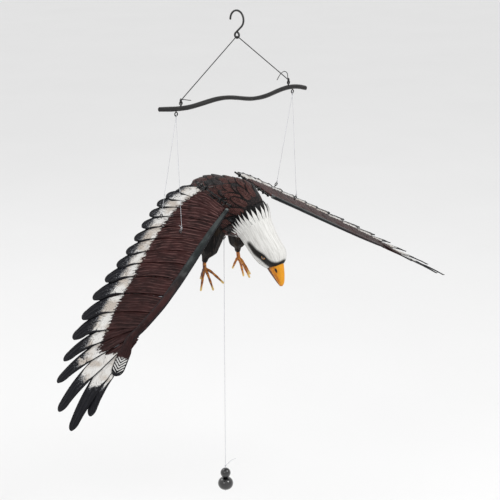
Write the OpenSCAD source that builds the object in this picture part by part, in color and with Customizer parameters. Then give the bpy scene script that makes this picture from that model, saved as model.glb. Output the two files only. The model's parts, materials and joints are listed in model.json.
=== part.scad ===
// Hanging eagle with flapping wings: hook, cord hanger and bar, lift lines,
// a bird with hinged wings, and a pull cord with a knob.
// Origin: the top inside face of the hook's crook, where it bears on what it hangs from.
// +Z up, the bird faces -Y, its wings spread along X.

/* [Hook] */
// Diameter of the hook's wire
hook_wire_d = 2.4; // [2:0.1:3]
// Radius of the crook, to the middle of the wire
crook_r = 10.8; // [9:0.1:13]
// Radius of the small loop, to the middle of the wire
loop_r = 3.4; // [3.2:0.1:4]

/* [Hanger] */
// Diameter of the black hanger cord
cord_d = 1.2; // [0.8:0.1:1.6]
// Height from the bar's middle to the hook's small loop
cord_rise = 72; // [60:1:80]
// Length of the bar
bar_l = 260; // [240:2:280]
// Diameter of the bar
bar_d = 6; // [5:0.5:8]
// Half the distance between the eyes on top of the bar
tie_x = 96; // [85:1:98]
// Half the distance between the eyes under the bar
ring_x = 104; // [101:0.5:106]

/* [Lift lines] */
// Diameter of the clear lines
line_d = 0.5; // [0.4:0.1:0.8]
// Height from the bar's middle to the hinge line of the wings
bar_to_bird = 117; // [105:1:125]

/* [Bird] */
// Nose-down slope of the wings' hinge lines
pitch = 20; // [10:1:25]
// Droop of the wings at rest
droop = 23.5; // [15:0.5:25]
// Distance of each hinge line from the middle of the body
hinge_x = 34.8; // [33:0.2:38]
// Wall of the hollow body and head
wall = 2.4; // [1.6:0.2:3]

/* [Wings] */
// Thickness of a wing's blade
wing_t = 2.6; // [2:0.2:4]
// Distance along the wing from the hinge to its lift eyes
lift_s = 74; // [70:1:78]
// Half the width of a flight feather
feather_w = 10; // [8:0.5:12]

/* [Hinges] */
// Diameter of a hinge rod
rod_d = 2.2; // [1.8:0.1:2.6]
// Length of a hinge rod
rod_l = 62; // [58:1:66]
// Gap between rod and wing eye, on the radius
hinge_gap = 0.07; // [0.03:0.01:0.1]
// Outside diameter of the lift eyes and the bar's eyes
eye_od = 5.6; // [5:0.1:6.4]
// Wire of the screw eyes
eye_wire = 1.3; // [1:0.1:1.6]

/* [Pull cord] */
// Diameter of the pull cord
pull_d = 0.8; // [0.6:0.1:1.2]
// Length of the pull cord from the belly eye to the knob
pull_l = 326; // [280:1:340]
// Diameter of the knob's upper ball
ball_top_d = 14; // [11:0.5:16]
// Width of the knob's flattened lower ball
ball_low_d = 21; // [18:0.5:23]
// Height of the knob's lower ball
ball_low_h = 17.5; // [15:0.5:18]

/* [Hidden] */
$fn = 48;
eps = 0.01;

// Hook: its plane is the YZ plane, with the crook open towards +Y.
crook_z = -(crook_r - hook_wire_d/2);
turn_a = 50;
shaft_l = (crook_r + loop_r)*cos(turn_a)/sin(turn_a);
loop_z = crook_z - (crook_r + loop_r)*sin(turn_a) - shaft_l*cos(turn_a);
loop_wire_z = loop_z - loop_r;

// Hanger cord: over the small loop's wire and straight down to an eye on each side.
cord_bend_r = 2*cord_d;
apex_z = loop_wire_z + hook_wire_d/2 + cord_d/2 + 0.08;
bar_z = loop_wire_z - cord_rise;

// The bar's wave, shifted so that its two bottom eyes hang level.
function bar_share(x) = x/bar_l + 0.5;
function bar_wave(t) = 3.6*(0.5 + 0.8*t)*cos(360*(t - 0.39)/0.49);
wave_right = bar_wave(bar_share(-ring_x));
wave_left = bar_wave(bar_share(ring_x));
function bar_mid(x) =
    [x, 0, bar_z + bar_wave(bar_share(x)) - (wave_right + wave_left)/2
        - (wave_left - wave_right)/2*x/ring_x];

// Screw eyes
eye_r = (eye_od - eye_wire)/2;
tie_eye_up = bar_d/2 + eye_od/2 + 0.4;
knot_d = 3;
tie_knot_up = tie_eye_up + eye_od/2 + 0.8;
ring_down = bar_d/2 + eye_od/2 + 0.4;
line_knot_d = 2.2;
line_top_z = bar_mid(ring_x).z - ring_down - eye_od/2 - 0.6;

// The bird's frame: its own origin is midway between the hinge lines.
bird_at = [0, 8, bar_z - bar_to_bird];
lift_y = [-23, 13];
lift_up = wing_t/2 + 3 + eye_od/2;
lift_c = [hinge_x + lift_s*cos(droop) + lift_up*sin(droop), 0,
          lift_up*cos(droop) - lift_s*sin(droop)];
open_gap = 0.8;
lift_end_up = eye_od/2 + open_gap + line_knot_d/2;
function pitched(p) = [p.x, p.y*cos(pitch) - p.z*sin(pitch), p.y*sin(pitch) + p.z*cos(pitch)];
function line_end(side, y) = bird_at + pitched([side*lift_c.x, y, lift_c.z + lift_end_up]);
function line_start(side) = [side*ring_x, 0, line_top_z];

// Hinges: knuckles of the wing outside, those of the body inside.
wing_eye_y = [-22, 22];
body_eye_y = [-14, 14];
knuckle_r = 1.85;
knuckle_wire = 1.5;
root_gap = 7;

// Wing: x along the wing from its hinge, y towards the tail.
front_edge = [[root_gap, -34], [45, -48], [88, -66], [126, -81], [164, -94], [198, -102], [222, -105], [246, -119]];
secondary_base = [[14, -20], [32, -28], [48, -34], [64, -42], [82, -50], [100, -58], [118, -66],
                  [138, -74], [160, -82], [182, -88], [204, -92], [222, -94]];
secondary_tip = [[26, 37], [45, 38], [62, 35], [80, 28], [99, 20], [119, 10], [140, 0],
                 [161, -8], [185, -16], [212, -27], [239, -41], [264, -56]];
primary_base = [[226, -92], [228, -94], [230, -96], [232, -100], [234, -103]];
primary_tip = [[290, -72], [313, -90], [335, -121], [341, -149], [315, -149]];
alula_base = [222, -103];
alula_tip = [264, -129];
covert_edge = [[root_gap, 18], [60, 8], [110, -16], [160, -42], [205, -58], [240, -80], [258, -104]];

function unit(v) = v/norm(v);
function left_of(d) = [-d.y, d.x];
function feather_outline(base, tip, w, pointed = 1.5) =
    let (d = unit(tip - base), n = left_of(d), shoulder = tip - d*w*pointed)
    concat([base + n*w*0.8],
           [for (a = [90:-22.5:-90]) shoulder + d*w*pointed*cos(a) + n*w*sin(a)],
           [base - n*w*0.8]);

// Body: spheres [x, y, z, radius], squashed across the bird.
body_squash = 0.86;
torso = [[0, -8, -20, 33], [0, 14, -24, 36], [0, -30, -33, 25], [0, 36, -12, 22], [0, 58, -9, 11]];
neck_at = [0, -33, -37];
neck_dir = [0, -0.64, -0.77];
neck_angle = atan2(-neck_dir.y, -neck_dir.z);
head_balls = [[0, -28, -30, 24.5], [0, -51, -60, 20.5], [0, -62, -74, 18], [0, -67, -84, 12]];
beak_at = [0, -70, -85];
beak_tip = [0, -82, -111];
tail_at = [0, 54, -9];
tail_slope = 14;
tail_l = 50;
tail_n = 9;
// Thigh: balls [x, y, z, radius] from the belly to the ankle.
thigh_balls = [[18, 12, -46, 12], [28, 19, -80, 9.5], [31, 21, -94, 3]];
ankle = [31, 21, -94];
toe_root = [31.6, 20, -102];
toe_tips = [[30, 29, -118], [40, 19, -129], [34, 3, -126], [25, -6, -117]];
leg_r = 2.6;
toe_r = 1.8;
belly_at = [0, 16, -60];
belly_shank = 7;

// ---- Shared shapes ----

module ring(r, wire) {
    rotate_extrude() translate([r, 0]) circle(d = wire);
}

// A straight rod between two points.
module rod_between(a, b, r) {
    d = b - a;
    translate(a) rotate([0, atan2(norm([d.x, d.y]), d.z), atan2(d.y, d.x)]) cylinder(r = r, h = norm(d));
}

// A cord's tube: rings of points round each route point, closed at both ends.
function tube_dir(route, i) =
    unit(route[min(i + 1, len(route) - 1)] - route[max(i - 1, 0)]);
function tube_ring(p, d, r, sides) =
    let (u = unit(cross(d, abs(d.y) < 0.9 ? [0, 1, 0] : [1, 0, 0])), v = cross(d, u))
    [for (k = [0:sides - 1]) p + r*(cos(360*k/sides)*u + sin(360*k/sides)*v)];
module tube(route, r, sides = 8) {
    rings = [for (i = [0:len(route) - 1]) each tube_ring(route[i], tube_dir(route, i), r, sides)];
    last = (len(route) - 1)*sides;
    polyhedron(rings, concat(
        [[for (k = [0:sides - 1]) k]],
        [for (i = [0:len(route) - 2]) for (k = [0:sides - 1])
            [i*sides + k, (i + 1)*sides + k, (i + 1)*sides + (k + 1)%sides, i*sides + (k + 1)%sides]],
        [[for (k = [sides - 1:-1:0]) last + k]]));
}

module in_bird() {
    translate(bird_at) rotate([pitch, 0, 0]) children();
}

// Places a left wing's own frame, or its mirror image on the right.
module in_wing(side) {
    in_bird() mirror([side < 0 ? 1 : 0, 0, 0])
        translate([hinge_x, 0, 0]) rotate([0, droop, 0]) children();
}

module squashed_hull(balls, less = 0) {
    hull() for (b = balls)
        translate([b.x, b.y, b.z]) scale([body_squash, 1, 1]) sphere(r = b[3] - less, $fn = 32);
}

// The half of space in front of the neck's joint, over the head.
module head_side(gap = 0) {
    translate(neck_at + neck_dir*gap) rotate([-neck_angle, 0, 0]) mirror([0, 0, 1])
        translate([-100, -100, 0]) cube([200, 200, 200]);
}

// ---- Hanger ----

module hook() color([0.08, 0.08, 0.08]) rotate([0, 0, -90]) rotate([90, 0, 0]) {
    translate([0, crook_z]) rotate([0, 0, -turn_a])
        rotate_extrude(angle = 180 + turn_a) translate([crook_r, 0]) circle(d = hook_wire_d);
    translate([-crook_r, crook_z]) sphere(d = hook_wire_d*0.96);
    shaft_top = [crook_r*cos(turn_a), crook_z - crook_r*sin(turn_a), 0];
    shaft_end = [-loop_r*cos(turn_a), loop_z + loop_r*sin(turn_a), 0];
    bite = unit(shaft_end - shaft_top)*0.3;
    rod_between(shaft_top - bite, shaft_end + bite, hook_wire_d*0.49);
    translate([0, loop_z]) rotate([0, 0, 180 - turn_a])
        rotate_extrude(angle = 310) translate([loop_r, 0]) circle(d = hook_wire_d);
}

// One leg's slope, met by the bend over the loop.
leg_run = tie_x;
leg_fall = apex_z - (bar_mid(tie_x).z + tie_knot_up);
leg_a = atan2(leg_fall, leg_run);
function cord_bend(side) =
    [for (k = [4:-1:1]) [side*cord_bend_r*sin(leg_a*k/4), 0, apex_z - cord_bend_r*(1 - cos(leg_a*k/4))]];
function tie_knot(side) = bar_mid(side*tie_x) + [0, 0, tie_knot_up];
function leg(side, n) = [for (k = [0:n - 1])
    tie_knot(side) + (cord_bend(side)[0] - tie_knot(side))*k/n];
function reversed(list) = [for (k = [len(list) - 1:-1:0]) list[k]];
cord_route = concat(leg(-1, 6), cord_bend(-1), [[0, 0, apex_z]],
                    reversed(cord_bend(1)), reversed(leg(1, 6)));

module hanger_cord() color([0.07, 0.07, 0.07]) tube(cord_route, cord_d/2);

module hanger_knots() color([0.07, 0.07, 0.07])
    for (side = [-1, 1]) translate(tie_knot(side)) sphere(d = knot_d, $fn = 24);

module bar() color([0.06, 0.06, 0.06])
    tube([for (k = [0:26]) bar_mid(bar_l*(k/26 - 0.5))], bar_d/2, 12);

// A screw eye with its ring at the origin and its shank towards -Z.
module screw_eye(shank) {
    rotate([90, 0, 0]) ring(eye_r, eye_wire);
    translate([0, 0, -eye_r - shank]) cylinder(d = eye_wire, h = shank);
}

module bar_top_eyes() color([0.1, 0.1, 0.1])
    for (side = [-1, 1]) translate(bar_mid(side*tie_x) + [0, 0, tie_eye_up]) screw_eye(4);

module bar_bottom_eyes() color([0.1, 0.1, 0.1])
    for (side = [-1, 1]) translate(bar_mid(side*ring_x) - [0, 0, ring_down])
        mirror([0, 0, 1]) screw_eye(4);

module lift_line(side, y) color([0.85, 0.9, 0.95, 0.5])
    tube([for (k = [0:4]) line_start(side) + (line_end(side, y) - line_start(side))*k/4], line_d/2);

module line_top_knots() color([0.85, 0.9, 0.95, 0.5])
    for (side = [-1, 1]) translate(line_start(side)) sphere(d = line_knot_d, $fn = 24);

module line_end_knots() color([0.85, 0.9, 0.95, 0.5])
    for (side = [-1, 1]) for (y = lift_y) translate(line_end(side, y)) sphere(d = line_knot_d - 0.4, $fn = 24);

// ---- Wings ----

module wing_blades() {
    for (k = [0:len(secondary_tip) - 1])
        polygon(feather_outline(secondary_base[k], secondary_tip[k], feather_w + 2));
    for (k = [0:len(primary_tip) - 1])
        polygon(feather_outline(primary_base[k], primary_tip[k], feather_w - 0.6*k, 2.2));
    polygon(feather_outline(alula_base, alula_tip, 6, 2));
}

module wing() color([0.27, 0.13, 0.1]) {
    translate([0, 0, -wing_t/2]) linear_extrude(wing_t) {
        intersection() {
            union() {
                wing_blades();
                polygon(concat(front_edge, reversed(secondary_base)));
            }
            translate([root_gap, -200]) square([400, 300]);
        }
    }
    translate([0, 0, wing_t/2 - eps]) linear_extrude(1.4)
        polygon(concat(front_edge, reversed(covert_edge)));
}

module lift_eyes() color([0.1, 0.1, 0.1])
    for (y = lift_y) translate([lift_s, y, lift_up]) screw_eye(1.8);

// A knuckle on the hinge line, bored for the rod, with its shank along +X.
module knuckle(bore_r, shank_from, shank_l) {
    rotate([90, 0, 0]) rotate_extrude() intersection() {
        translate([knuckle_r, 0]) circle(d = knuckle_wire);
        translate([bore_r, -2]) square([4, 4]);
    }
    translate([shank_from, 0, 0]) rotate([0, 90, 0]) cylinder(d = 1.3, h = shank_l);
}

module wing_hinge_eyes() color([0.12, 0.12, 0.12])
    for (y = wing_eye_y) translate([0, y, 0]) knuckle(rod_d/2 + hinge_gap, knuckle_r, 14);

// ---- Bird ----

module body_hinge_eyes() color([0.12, 0.12, 0.12])
    in_bird() for (side = [-1, 1]) for (y = body_eye_y)
        mirror([side < 0 ? 1 : 0, 0, 0]) translate([hinge_x, y, 0])
            mirror([1, 0, 0]) knuckle(rod_d/2, knuckle_r, 14);

module hinge_rod(side) color([0.15, 0.15, 0.15])
    in_bird() translate([side*hinge_x, -rod_l/2, 0]) rotate([-90, 0, 0]) {
        cylinder(d = rod_d, h = rod_l);
        cylinder(d = 3.6, h = 1.6);
    }

module body_shell() difference() {
    squashed_hull(torso);
    squashed_hull(torso, wall);
    head_side();
}

module body_half(side) color([0.2, 0.1, 0.08]) translate(bird_at) intersection() {
    body_shell();
    translate([side < 0 ? -100 : 0, -150, -150]) cube([100, 300, 300]);
}

module head() color([0.9, 0.9, 0.86]) translate(bird_at) intersection() {
    difference() {
        squashed_hull(head_balls);
        squashed_hull(head_balls, wall);
    }
    head_side(0.05);
}

module beak() color([0.85, 0.5, 0.08]) translate(bird_at) hull() {
    translate(beak_at) scale([0.8, 1, 1]) sphere(r = 11, $fn = 24);
    translate(beak_at + [0, -5, -9]) scale([0.75, 1, 1]) sphere(r = 7, $fn = 24);
    translate(beak_tip + [0, 2, 2]) sphere(r = 2, $fn = 16);
}

module eyes() color([0.85, 0.6, 0.15]) translate(bird_at)
    for (side = [-1, 1]) translate([side*13.6, -68, -74]) sphere(r = 3, $fn = 24);

module tail() color([0.2, 0.2, 0.2])
    translate(bird_at + tail_at) rotate([-tail_slope, 0, 0]) translate([0, 0, -1.2])
        linear_extrude(2.4) union() for (k = [0:tail_n - 1])
            let (a = 90 + 30*(k/(tail_n - 1)*2 - 1))
            polygon(feather_outline([0, -8], [tail_l*cos(a), tail_l*sin(a)], 5, 2));

module thigh(side) color([0.12, 0.1, 0.1]) translate(bird_at) mirror([side < 0 ? 1 : 0, 0, 0])
    hull() for (b = thigh_balls) translate([b.x, b.y, b.z]) sphere(r = b[3], $fn = 28);

module foot(side) color([0.85, 0.5, 0.08]) translate(bird_at) mirror([side < 0 ? 1 : 0, 0, 0]) {
    hull() {
        translate(ankle) sphere(r = leg_r, $fn = 16);
        translate(toe_root) sphere(r = leg_r, $fn = 16);
    }
    for (tip = toe_tips) hull() {
        translate(toe_root) sphere(r = leg_r*0.8, $fn = 14);
        translate(toe_root + (tip - toe_root)*0.55 + [0, 0, 1.5]) sphere(r = toe_r, $fn = 14);
        translate(tip) sphere(r = toe_r*0.8, $fn = 14);
    }
}

// A screw eye that hangs from the belly, with its hole across the bird.
belly_ring = bird_at + belly_at - [0, 0, 3 + eye_od/2];
module belly_eye() color([0.12, 0.12, 0.12])
    translate(belly_ring) rotate([0, 0, 90]) mirror([0, 0, 1]) screw_eye(belly_shank);

// ---- Pull cord ----

pull_knot_d = 1.6;
pull_top = belly_ring - [0, 0, eye_od/2 + 0.1 + pull_knot_d/2];
knob_top = pull_top - [0, 0, pull_l];
upper_ball = knob_top - [0, 0, ball_top_d/2];
lower_ball = upper_ball - [0, 0, ball_top_d/2 + ball_low_h/2];
stop_knot = lower_ball - [0, 0, ball_low_h/2 + 1];
cord_hole_r = pull_d/2 + 0.4;

module pull_cord() color([0.85, 0.88, 0.9])
    tube([for (k = [0:12]) pull_top + (stop_knot - pull_top)*k/12], pull_d/2);

module pull_top_knot() color([0.85, 0.88, 0.9]) translate(pull_top) sphere(d = pull_knot_d, $fn = 24);

// A ball of revolution, bored along Z for the cord and widened across by the spread.
module bored_ball(h, spread) rotate_extrude() intersection() {
    translate([spread, 0]) circle(d = h);
    translate([cord_hole_r, -h]) square([2*h, 2*h]);
}

module knob_upper_ball() color([0.05, 0.05, 0.05]) translate(upper_ball) bored_ball(ball_top_d, 0);
module knob_lower_ball() color([0.05, 0.05, 0.05])
    translate(lower_ball) bored_ball(ball_low_h, (ball_low_d - ball_low_h)/2);
module knob_stop_knot() color([0.85, 0.88, 0.9]) translate(stop_knot) sphere(d = 3, $fn = 24);

hook();
hanger_cord();
hanger_knots();
bar();
bar_top_eyes();
bar_bottom_eyes();
lift_line(-1, lift_y[0]);  // line_right_front
lift_line(-1, lift_y[1]);  // line_right_rear
lift_line(1, lift_y[0]);  // line_left_front
lift_line(1, lift_y[1]);  // line_left_rear
line_top_knots();
line_end_knots();
in_wing(-1) wing();  // wing_right
in_wing(1) wing();  // wing_left
in_wing(-1) lift_eyes();  // wing_right_lift_eyes
in_wing(1) lift_eyes();  // wing_left_lift_eyes
in_wing(-1) wing_hinge_eyes();  // wing_right_hinge_eyes
in_wing(1) wing_hinge_eyes();  // wing_left_hinge_eyes
body_hinge_eyes();
hinge_rod(-1);  // hinge_rod_right
hinge_rod(1);  // hinge_rod_left
body_half(-1);  // body_right
body_half(1);  // body_left
head();
beak();
eyes();
tail();
thigh(-1);  // thigh_right
thigh(1);  // thigh_left
foot(-1);  // foot_right
foot(1);  // foot_left
belly_eye();
pull_cord();
pull_top_knot();
knob_upper_ball();
knob_lower_ball();
knob_stop_knot();
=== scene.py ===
import json
import math
import random

import bmesh
import bpy
from mathutils import Matrix, Vector, noise
from mathutils.bvhtree import BVHTree


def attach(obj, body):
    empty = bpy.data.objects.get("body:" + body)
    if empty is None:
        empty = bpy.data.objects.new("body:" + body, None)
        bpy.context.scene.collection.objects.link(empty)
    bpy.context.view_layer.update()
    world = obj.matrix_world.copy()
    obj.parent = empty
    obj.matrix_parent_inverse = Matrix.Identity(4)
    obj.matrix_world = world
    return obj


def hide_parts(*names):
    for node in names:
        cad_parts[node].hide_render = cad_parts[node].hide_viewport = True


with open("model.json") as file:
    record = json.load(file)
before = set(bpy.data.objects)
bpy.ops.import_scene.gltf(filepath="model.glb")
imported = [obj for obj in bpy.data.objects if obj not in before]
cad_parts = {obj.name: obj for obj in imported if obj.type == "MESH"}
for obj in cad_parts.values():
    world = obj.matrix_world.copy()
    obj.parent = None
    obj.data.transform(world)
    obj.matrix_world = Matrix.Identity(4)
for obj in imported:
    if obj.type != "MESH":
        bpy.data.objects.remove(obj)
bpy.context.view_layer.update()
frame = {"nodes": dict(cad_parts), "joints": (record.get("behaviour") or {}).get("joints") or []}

# ---- Places, read from the frame's joints. Shapes are drawn in millimetres and then scaled. ----

MILLIMETRES = Matrix.Scale(0.001, 4)
# Two rings round off a rod's end: how far past it each lies and how wide it is, in radii.
ROUNDED_END = ((0.55, 0.84), (0.9, 0.44))
joints = {joint["name"]: joint for joint in frame["joints"]}
left_hinge = Vector(joints["left_wing_flap"]["pos_m"]) * 1000
hinge_axis = joints["right_wing_flap"]["axis"]
pitch = math.atan2(hinge_axis[2], hinge_axis[1])
hinge_x = left_hinge.x
bird_at = Vector((0, left_hinge.y, left_hinge.z))
droop = math.radians(23.5)
BIRD = Matrix.Translation(bird_at)
PITCHED = BIRD @ Matrix.Rotation(pitch, 4, "X")
MIRRORED = Matrix.Diagonal((-1, 1, 1, 1))


def wing_place(side):
    """A left wing's own frame, x along the wing and y towards the tail, or its mirror image."""
    mirror = MIRRORED if side == "right" else Matrix()
    turn = Matrix.Translation((hinge_x, 0, 0)) @ Matrix.Rotation(droop, 4, "Y")
    return PITCHED @ mirror @ turn


# ---- Small helpers ----

def along(points, x):
    """Height at x of the bent line through the points, level beyond its ends."""
    if x <= points[0][0]:
        return points[0][1]
    for (x0, y0), (x1, y1) in zip(points, points[1:]):
        if x <= x1:
            return y0 + (y1 - y0) * (x - x0) / (x1 - x0)
    return points[-1][1]


def smooth_line(points, steps):
    """A smooth path through the points, with that many steps between each two of them."""
    points = [Vector(point) for point in points]
    held = [points[0] * 2 - points[1]] + points + [points[-1] * 2 - points[-2]]
    path = []
    for a, b, c, d in zip(held, held[1:], held[2:], held[3:]):
        for step in range(steps):
            t = step / steps
            path.append(0.5 * (2 * b + (c - a) * t + (2 * a - 5 * b + 4 * c - d) * t ** 2
                               + (3 * b - a - 3 * c + d) * t ** 3))
    return path + [points[-1]]


def places_along(points, up=None):
    """A place on each point of a path, looking along it and not twisting round it."""
    points = [Vector(point) for point in points]
    places = []
    for before, point, after in zip(points[:1] + points[:-1], points, points[1:] + points[-1:]):
        ahead = (after - before).normalized()
        up = ahead.orthogonal() if up is None else Vector(up)
        up = (up - ahead * up.dot(ahead)).normalized()
        turn = Matrix((up.cross(ahead), up, ahead)).transposed().to_4x4()
        places.append(Matrix.Translation(point) @ turn)
    return places


def close_ring(bm, edges):
    """Draws an open ring in to one point."""
    made = bmesh.ops.extrude_edge_only(bm, edges=edges)["geom"]
    verts = [part for part in made if isinstance(part, bmesh.types.BMVert)]
    middle = sum((vert.co for vert in verts), Vector()) / len(verts)
    bmesh.ops.pointmerge(bm, verts=verts, merge_co=middle)


def loft(bm, places, sizes, sides=24):
    """Extrudes a ring through the places. Each size is the ring's (half width, half height)."""
    fitted = [place @ Matrix.Diagonal((wide, high, 1, 1))
              for place, (wide, high) in zip(places, sizes)]
    ring = bmesh.ops.create_circle(bm, radius=1, segments=sides, matrix=fitted[0])["verts"]
    first = edges = list({edge for vert in ring for edge in vert.link_edges})
    made = list(ring)
    for before, after in zip(fitted, fitted[1:]):
        geometry = bmesh.ops.extrude_edge_only(bm, edges=edges)["geom"]
        verts = [part for part in geometry if isinstance(part, bmesh.types.BMVert)]
        bmesh.ops.transform(bm, matrix=after @ before.inverted(), verts=verts)
        edges = [part for part in geometry
                 if isinstance(part, bmesh.types.BMEdge) and all(v in verts for v in part.verts)]
        made += verts
    close_ring(bm, first)
    close_ring(bm, edges)
    return made


def rod(bm, points, radius, sides=12):
    """A round rod or cord along points, with rounded ends."""
    radii = list(radius) if isinstance(radius, (list, tuple)) else [radius] * len(points)
    places = places_along(points)
    sizes = [(r, r) for r in radii]
    first, last = places[0], places[-1]
    for reach, narrowing in ROUNDED_END:
        places.insert(0, first @ Matrix.Translation((0, 0, -reach * radii[0])))
        sizes.insert(0, (radii[0] * narrowing,) * 2)
        places.append(last @ Matrix.Translation((0, 0, reach * radii[-1])))
        sizes.append((radii[-1] * narrowing,) * 2)
    return loft(bm, places, sizes, sides)


def number_layer(bm, name):
    """The layer that holds one number for each vertex, made when it isn't there yet."""
    return bm.verts.layers.float.get(name) or bm.verts.layers.float.new(name)


def vector_layer(bm, name):
    """The layer that holds three numbers for each vertex, made when it isn't there yet."""
    return bm.verts.layers.float_vector.get(name) or bm.verts.layers.float_vector.new(name)


def make_piece(bm, name, body, slot, finishes, place=None, crease=50, levels=0, replaces=()):
    """Turns a drawing in millimetres into a piece of that body."""
    bmesh.ops.remove_doubles(bm, verts=bm.verts, dist=0.0005)
    bmesh.ops.transform(bm, matrix=MILLIMETRES @ (place or Matrix()), verts=bm.verts)
    bmesh.ops.recalc_face_normals(bm, faces=bm.faces)
    mesh = bpy.data.meshes.new(name)
    bm.to_mesh(mesh)
    bm.free()
    for finish in finishes:
        mesh.materials.append(finish)
    mesh.shade_smooth()
    mesh.set_sharp_from_angle(angle=math.radians(crease))
    piece = bpy.data.objects.new(name, mesh)
    bpy.context.scene.collection.objects.link(piece)
    if levels:
        rounder = piece.modifiers.new("rounded", "SUBSURF")
        rounder.levels = rounder.render_levels = levels
    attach(piece, body)
    if replaces:
        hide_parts(*replaces)
    return piece


# ---- Finishes ----

class Value:
    """A shader socket that Python's operators work on: each one adds a Math node."""

    def __init__(self, finish, socket):
        self.finish = finish
        self.socket = socket

    def __add__(self, other):
        return self.finish.math("ADD", self, other)

    def __sub__(self, other):
        return self.finish.math("SUBTRACT", self, other)

    def __rsub__(self, other):
        return self.finish.math("SUBTRACT", other, self)

    def __mul__(self, other):
        return self.finish.math("MULTIPLY", self, other)

    def __abs__(self):
        return self.finish.math("ABSOLUTE", self)

    def __pow__(self, other):
        return self.finish.math("POWER", self, other)

    __radd__ = __add__
    __rmul__ = __mul__


class Finish:
    """One material's nodes: node() adds any of them, and the rest are short ways to call it."""

    def __init__(self, name):
        self.material = bpy.data.materials.new(name)
        self.material.use_nodes = True
        self.tree = self.material.node_tree
        self.shader = self.tree.nodes["Principled BSDF"]

    def feed(self, socket, value):
        """Joins a value to a socket, or sets the socket to it."""
        if isinstance(value, Value):
            self.tree.links.new(value.socket, socket)
        elif isinstance(value, tuple) and socket.type == "RGBA":
            socket.default_value = (*value, 1)
        else:
            socket.default_value = value

    def node(self, kind, settings=None, inputs=None, out=0):
        node = self.tree.nodes.new("ShaderNode" + kind)
        for name, setting in (settings or {}).items():
            setattr(node, name, setting)
        for name, value in (inputs or {}).items():
            self.feed(node.inputs[name], value)
        return Value(self, node.outputs[out])

    def math(self, operation, *values):
        return self.node("Math", {"operation": operation}, dict(enumerate(values)))

    def place(self):
        return self.node("TexCoord", out="Object")

    def attribute(self, name, out="Fac"):
        return self.node("Attribute", {"attribute_name": name}, out=out)

    def stretched(self, vector, scale):
        return self.node("VectorMath", {"operation": "MULTIPLY"}, {0: vector, 1: scale})

    def joined(self, x, y, z=0.0):
        return self.node("CombineXYZ", inputs={0: x, 1: y, 2: z})

    def parts(self, vector):
        split = self.node("SeparateXYZ", inputs={0: vector}).socket.node
        return [Value(self, socket) for socket in split.outputs]

    def noise(self, vector, scale, detail=2.0, roughness=0.5):
        return self.node("TexNoise", inputs={"Vector": vector, "Scale": scale,
                                             "Detail": detail, "Roughness": roughness})

    def step(self, value, low, high, start=0.0, end=1.0):
        """Rises smoothly from start to end as value goes from low to high."""
        return self.node("MapRange", {"interpolation_type": "SMOOTHSTEP"},
                         {0: value, 1: low, 2: high, 3: start, 4: end})

    def mix(self, factor, first, second):
        return self.node("Mix", {"data_type": "RGBA"}, {0: factor, 6: first, 7: second}, out=2)

    def bump(self, height, strength, distance, normal=None):
        inputs = {"Height": height, "Strength": strength, "Distance": distance}
        if normal is not None:
            inputs["Normal"] = normal
        return self.node("Bump", inputs=inputs)

    def use(self, **inputs):
        """Feeds the shader and gives the finished material."""
        for name, value in inputs.items():
            self.feed(self.shader.inputs[name.replace("_", " ")], value)
        return self.material


def painted_metal(name, colour, worn_colour, roughness, wear=0.62, grain=(1, 1, 1), metallic=0.0):
    """Dark paint or blackened wire: fine mottling, faint rubs where it wears, and small dents."""
    finish = Finish(name)
    place = finish.stretched(finish.place(), grain)
    mottle = finish.noise(place, 900.0, 4.0, 0.6)
    patch = finish.noise(place, 160.0, 3.0)
    rubbed = finish.step(mottle * 0.6 + patch * 0.4, wear, wear + 0.12)
    return finish.use(Base_Color=finish.mix(rubbed, colour, worn_colour),
                      Roughness=finish.step(patch, 0.3, 0.7, roughness - 0.08, roughness + 0.1),
                      Metallic=metallic,
                      Normal=finish.bump(mottle, 0.25, 0.0002))


def twisted_cord(name, colour, light_colour):
    """Braided black cord: strands that wind across it."""
    finish = Finish(name)
    x, y, z = finish.parts(finish.place())
    strand = finish.math("SINE", (x * 0.9 + z * 1.1 + y * 0.7) * 5200.0)
    fuzz = finish.noise(finish.place(), 1500.0, 3.0)
    return finish.use(Base_Color=finish.mix(finish.step(strand + fuzz, 0.2, 1.6), colour, light_colour),
                      Roughness=finish.step(fuzz, 0.3, 0.7, 0.6, 0.85),
                      Normal=finish.bump(strand, 0.5, 0.0001))


def clear_nylon(name, tint):
    """Drawn nylon line: glossy, clear, with slight lengthwise cloudiness."""
    finish = Finish(name)
    cloud = finish.noise(finish.place(), 220.0, 3.0)
    return finish.use(Base_Color=finish.mix(cloud, tint, (0.86, 0.87, 0.9)),
                      Roughness=finish.step(cloud, 0.3, 0.7, 0.12, 0.25),
                      Transmission_Weight=0.35, IOR=1.53, Coat_Weight=0.3)


def screw_steel(name, colour):
    """Blackened or bright steel of the small eyes and rods, with drawing lines and rubs."""
    finish = Finish(name)
    place = finish.place()
    lines = finish.noise(finish.stretched(place, (1, 0.2, 1)), 2400.0, 3.0)
    patch = finish.noise(place, 420.0, 3.0)
    return finish.use(Base_Color=finish.mix(finish.step(patch, 0.52, 0.7), colour, (0.16, 0.155, 0.15)),
                      Metallic=0.85,
                      Roughness=finish.step(lines, 0.3, 0.7, 0.28, 0.5),
                      Normal=finish.bump(lines, 0.3, 0.0001))


BROWN_DARK = (0.0125, 0.0046, 0.0045)
BROWN = (0.036, 0.0118, 0.0112)
BROWN_RIDGE = (0.150, 0.076, 0.070)
WHITE_FEATHER = (0.62, 0.61, 0.59)
BEIGE_FEATHER = (0.43, 0.385, 0.34)
GREY_FEATHER = (0.23, 0.235, 0.25)
BLACK_FEATHER = (0.0055, 0.0055, 0.0075)
BLACK_BARB = (0.020, 0.022, 0.028)
# The front edge's dark grey-green, and the painted highlight over it.
STRIP_DARK = (0.014, 0.018, 0.018)
STRIP_HIGHLIGHT = (0.062, 0.072, 0.072)
RIDGE_PITCH = 4.4
DARK_SHEEN = 0.10


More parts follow.
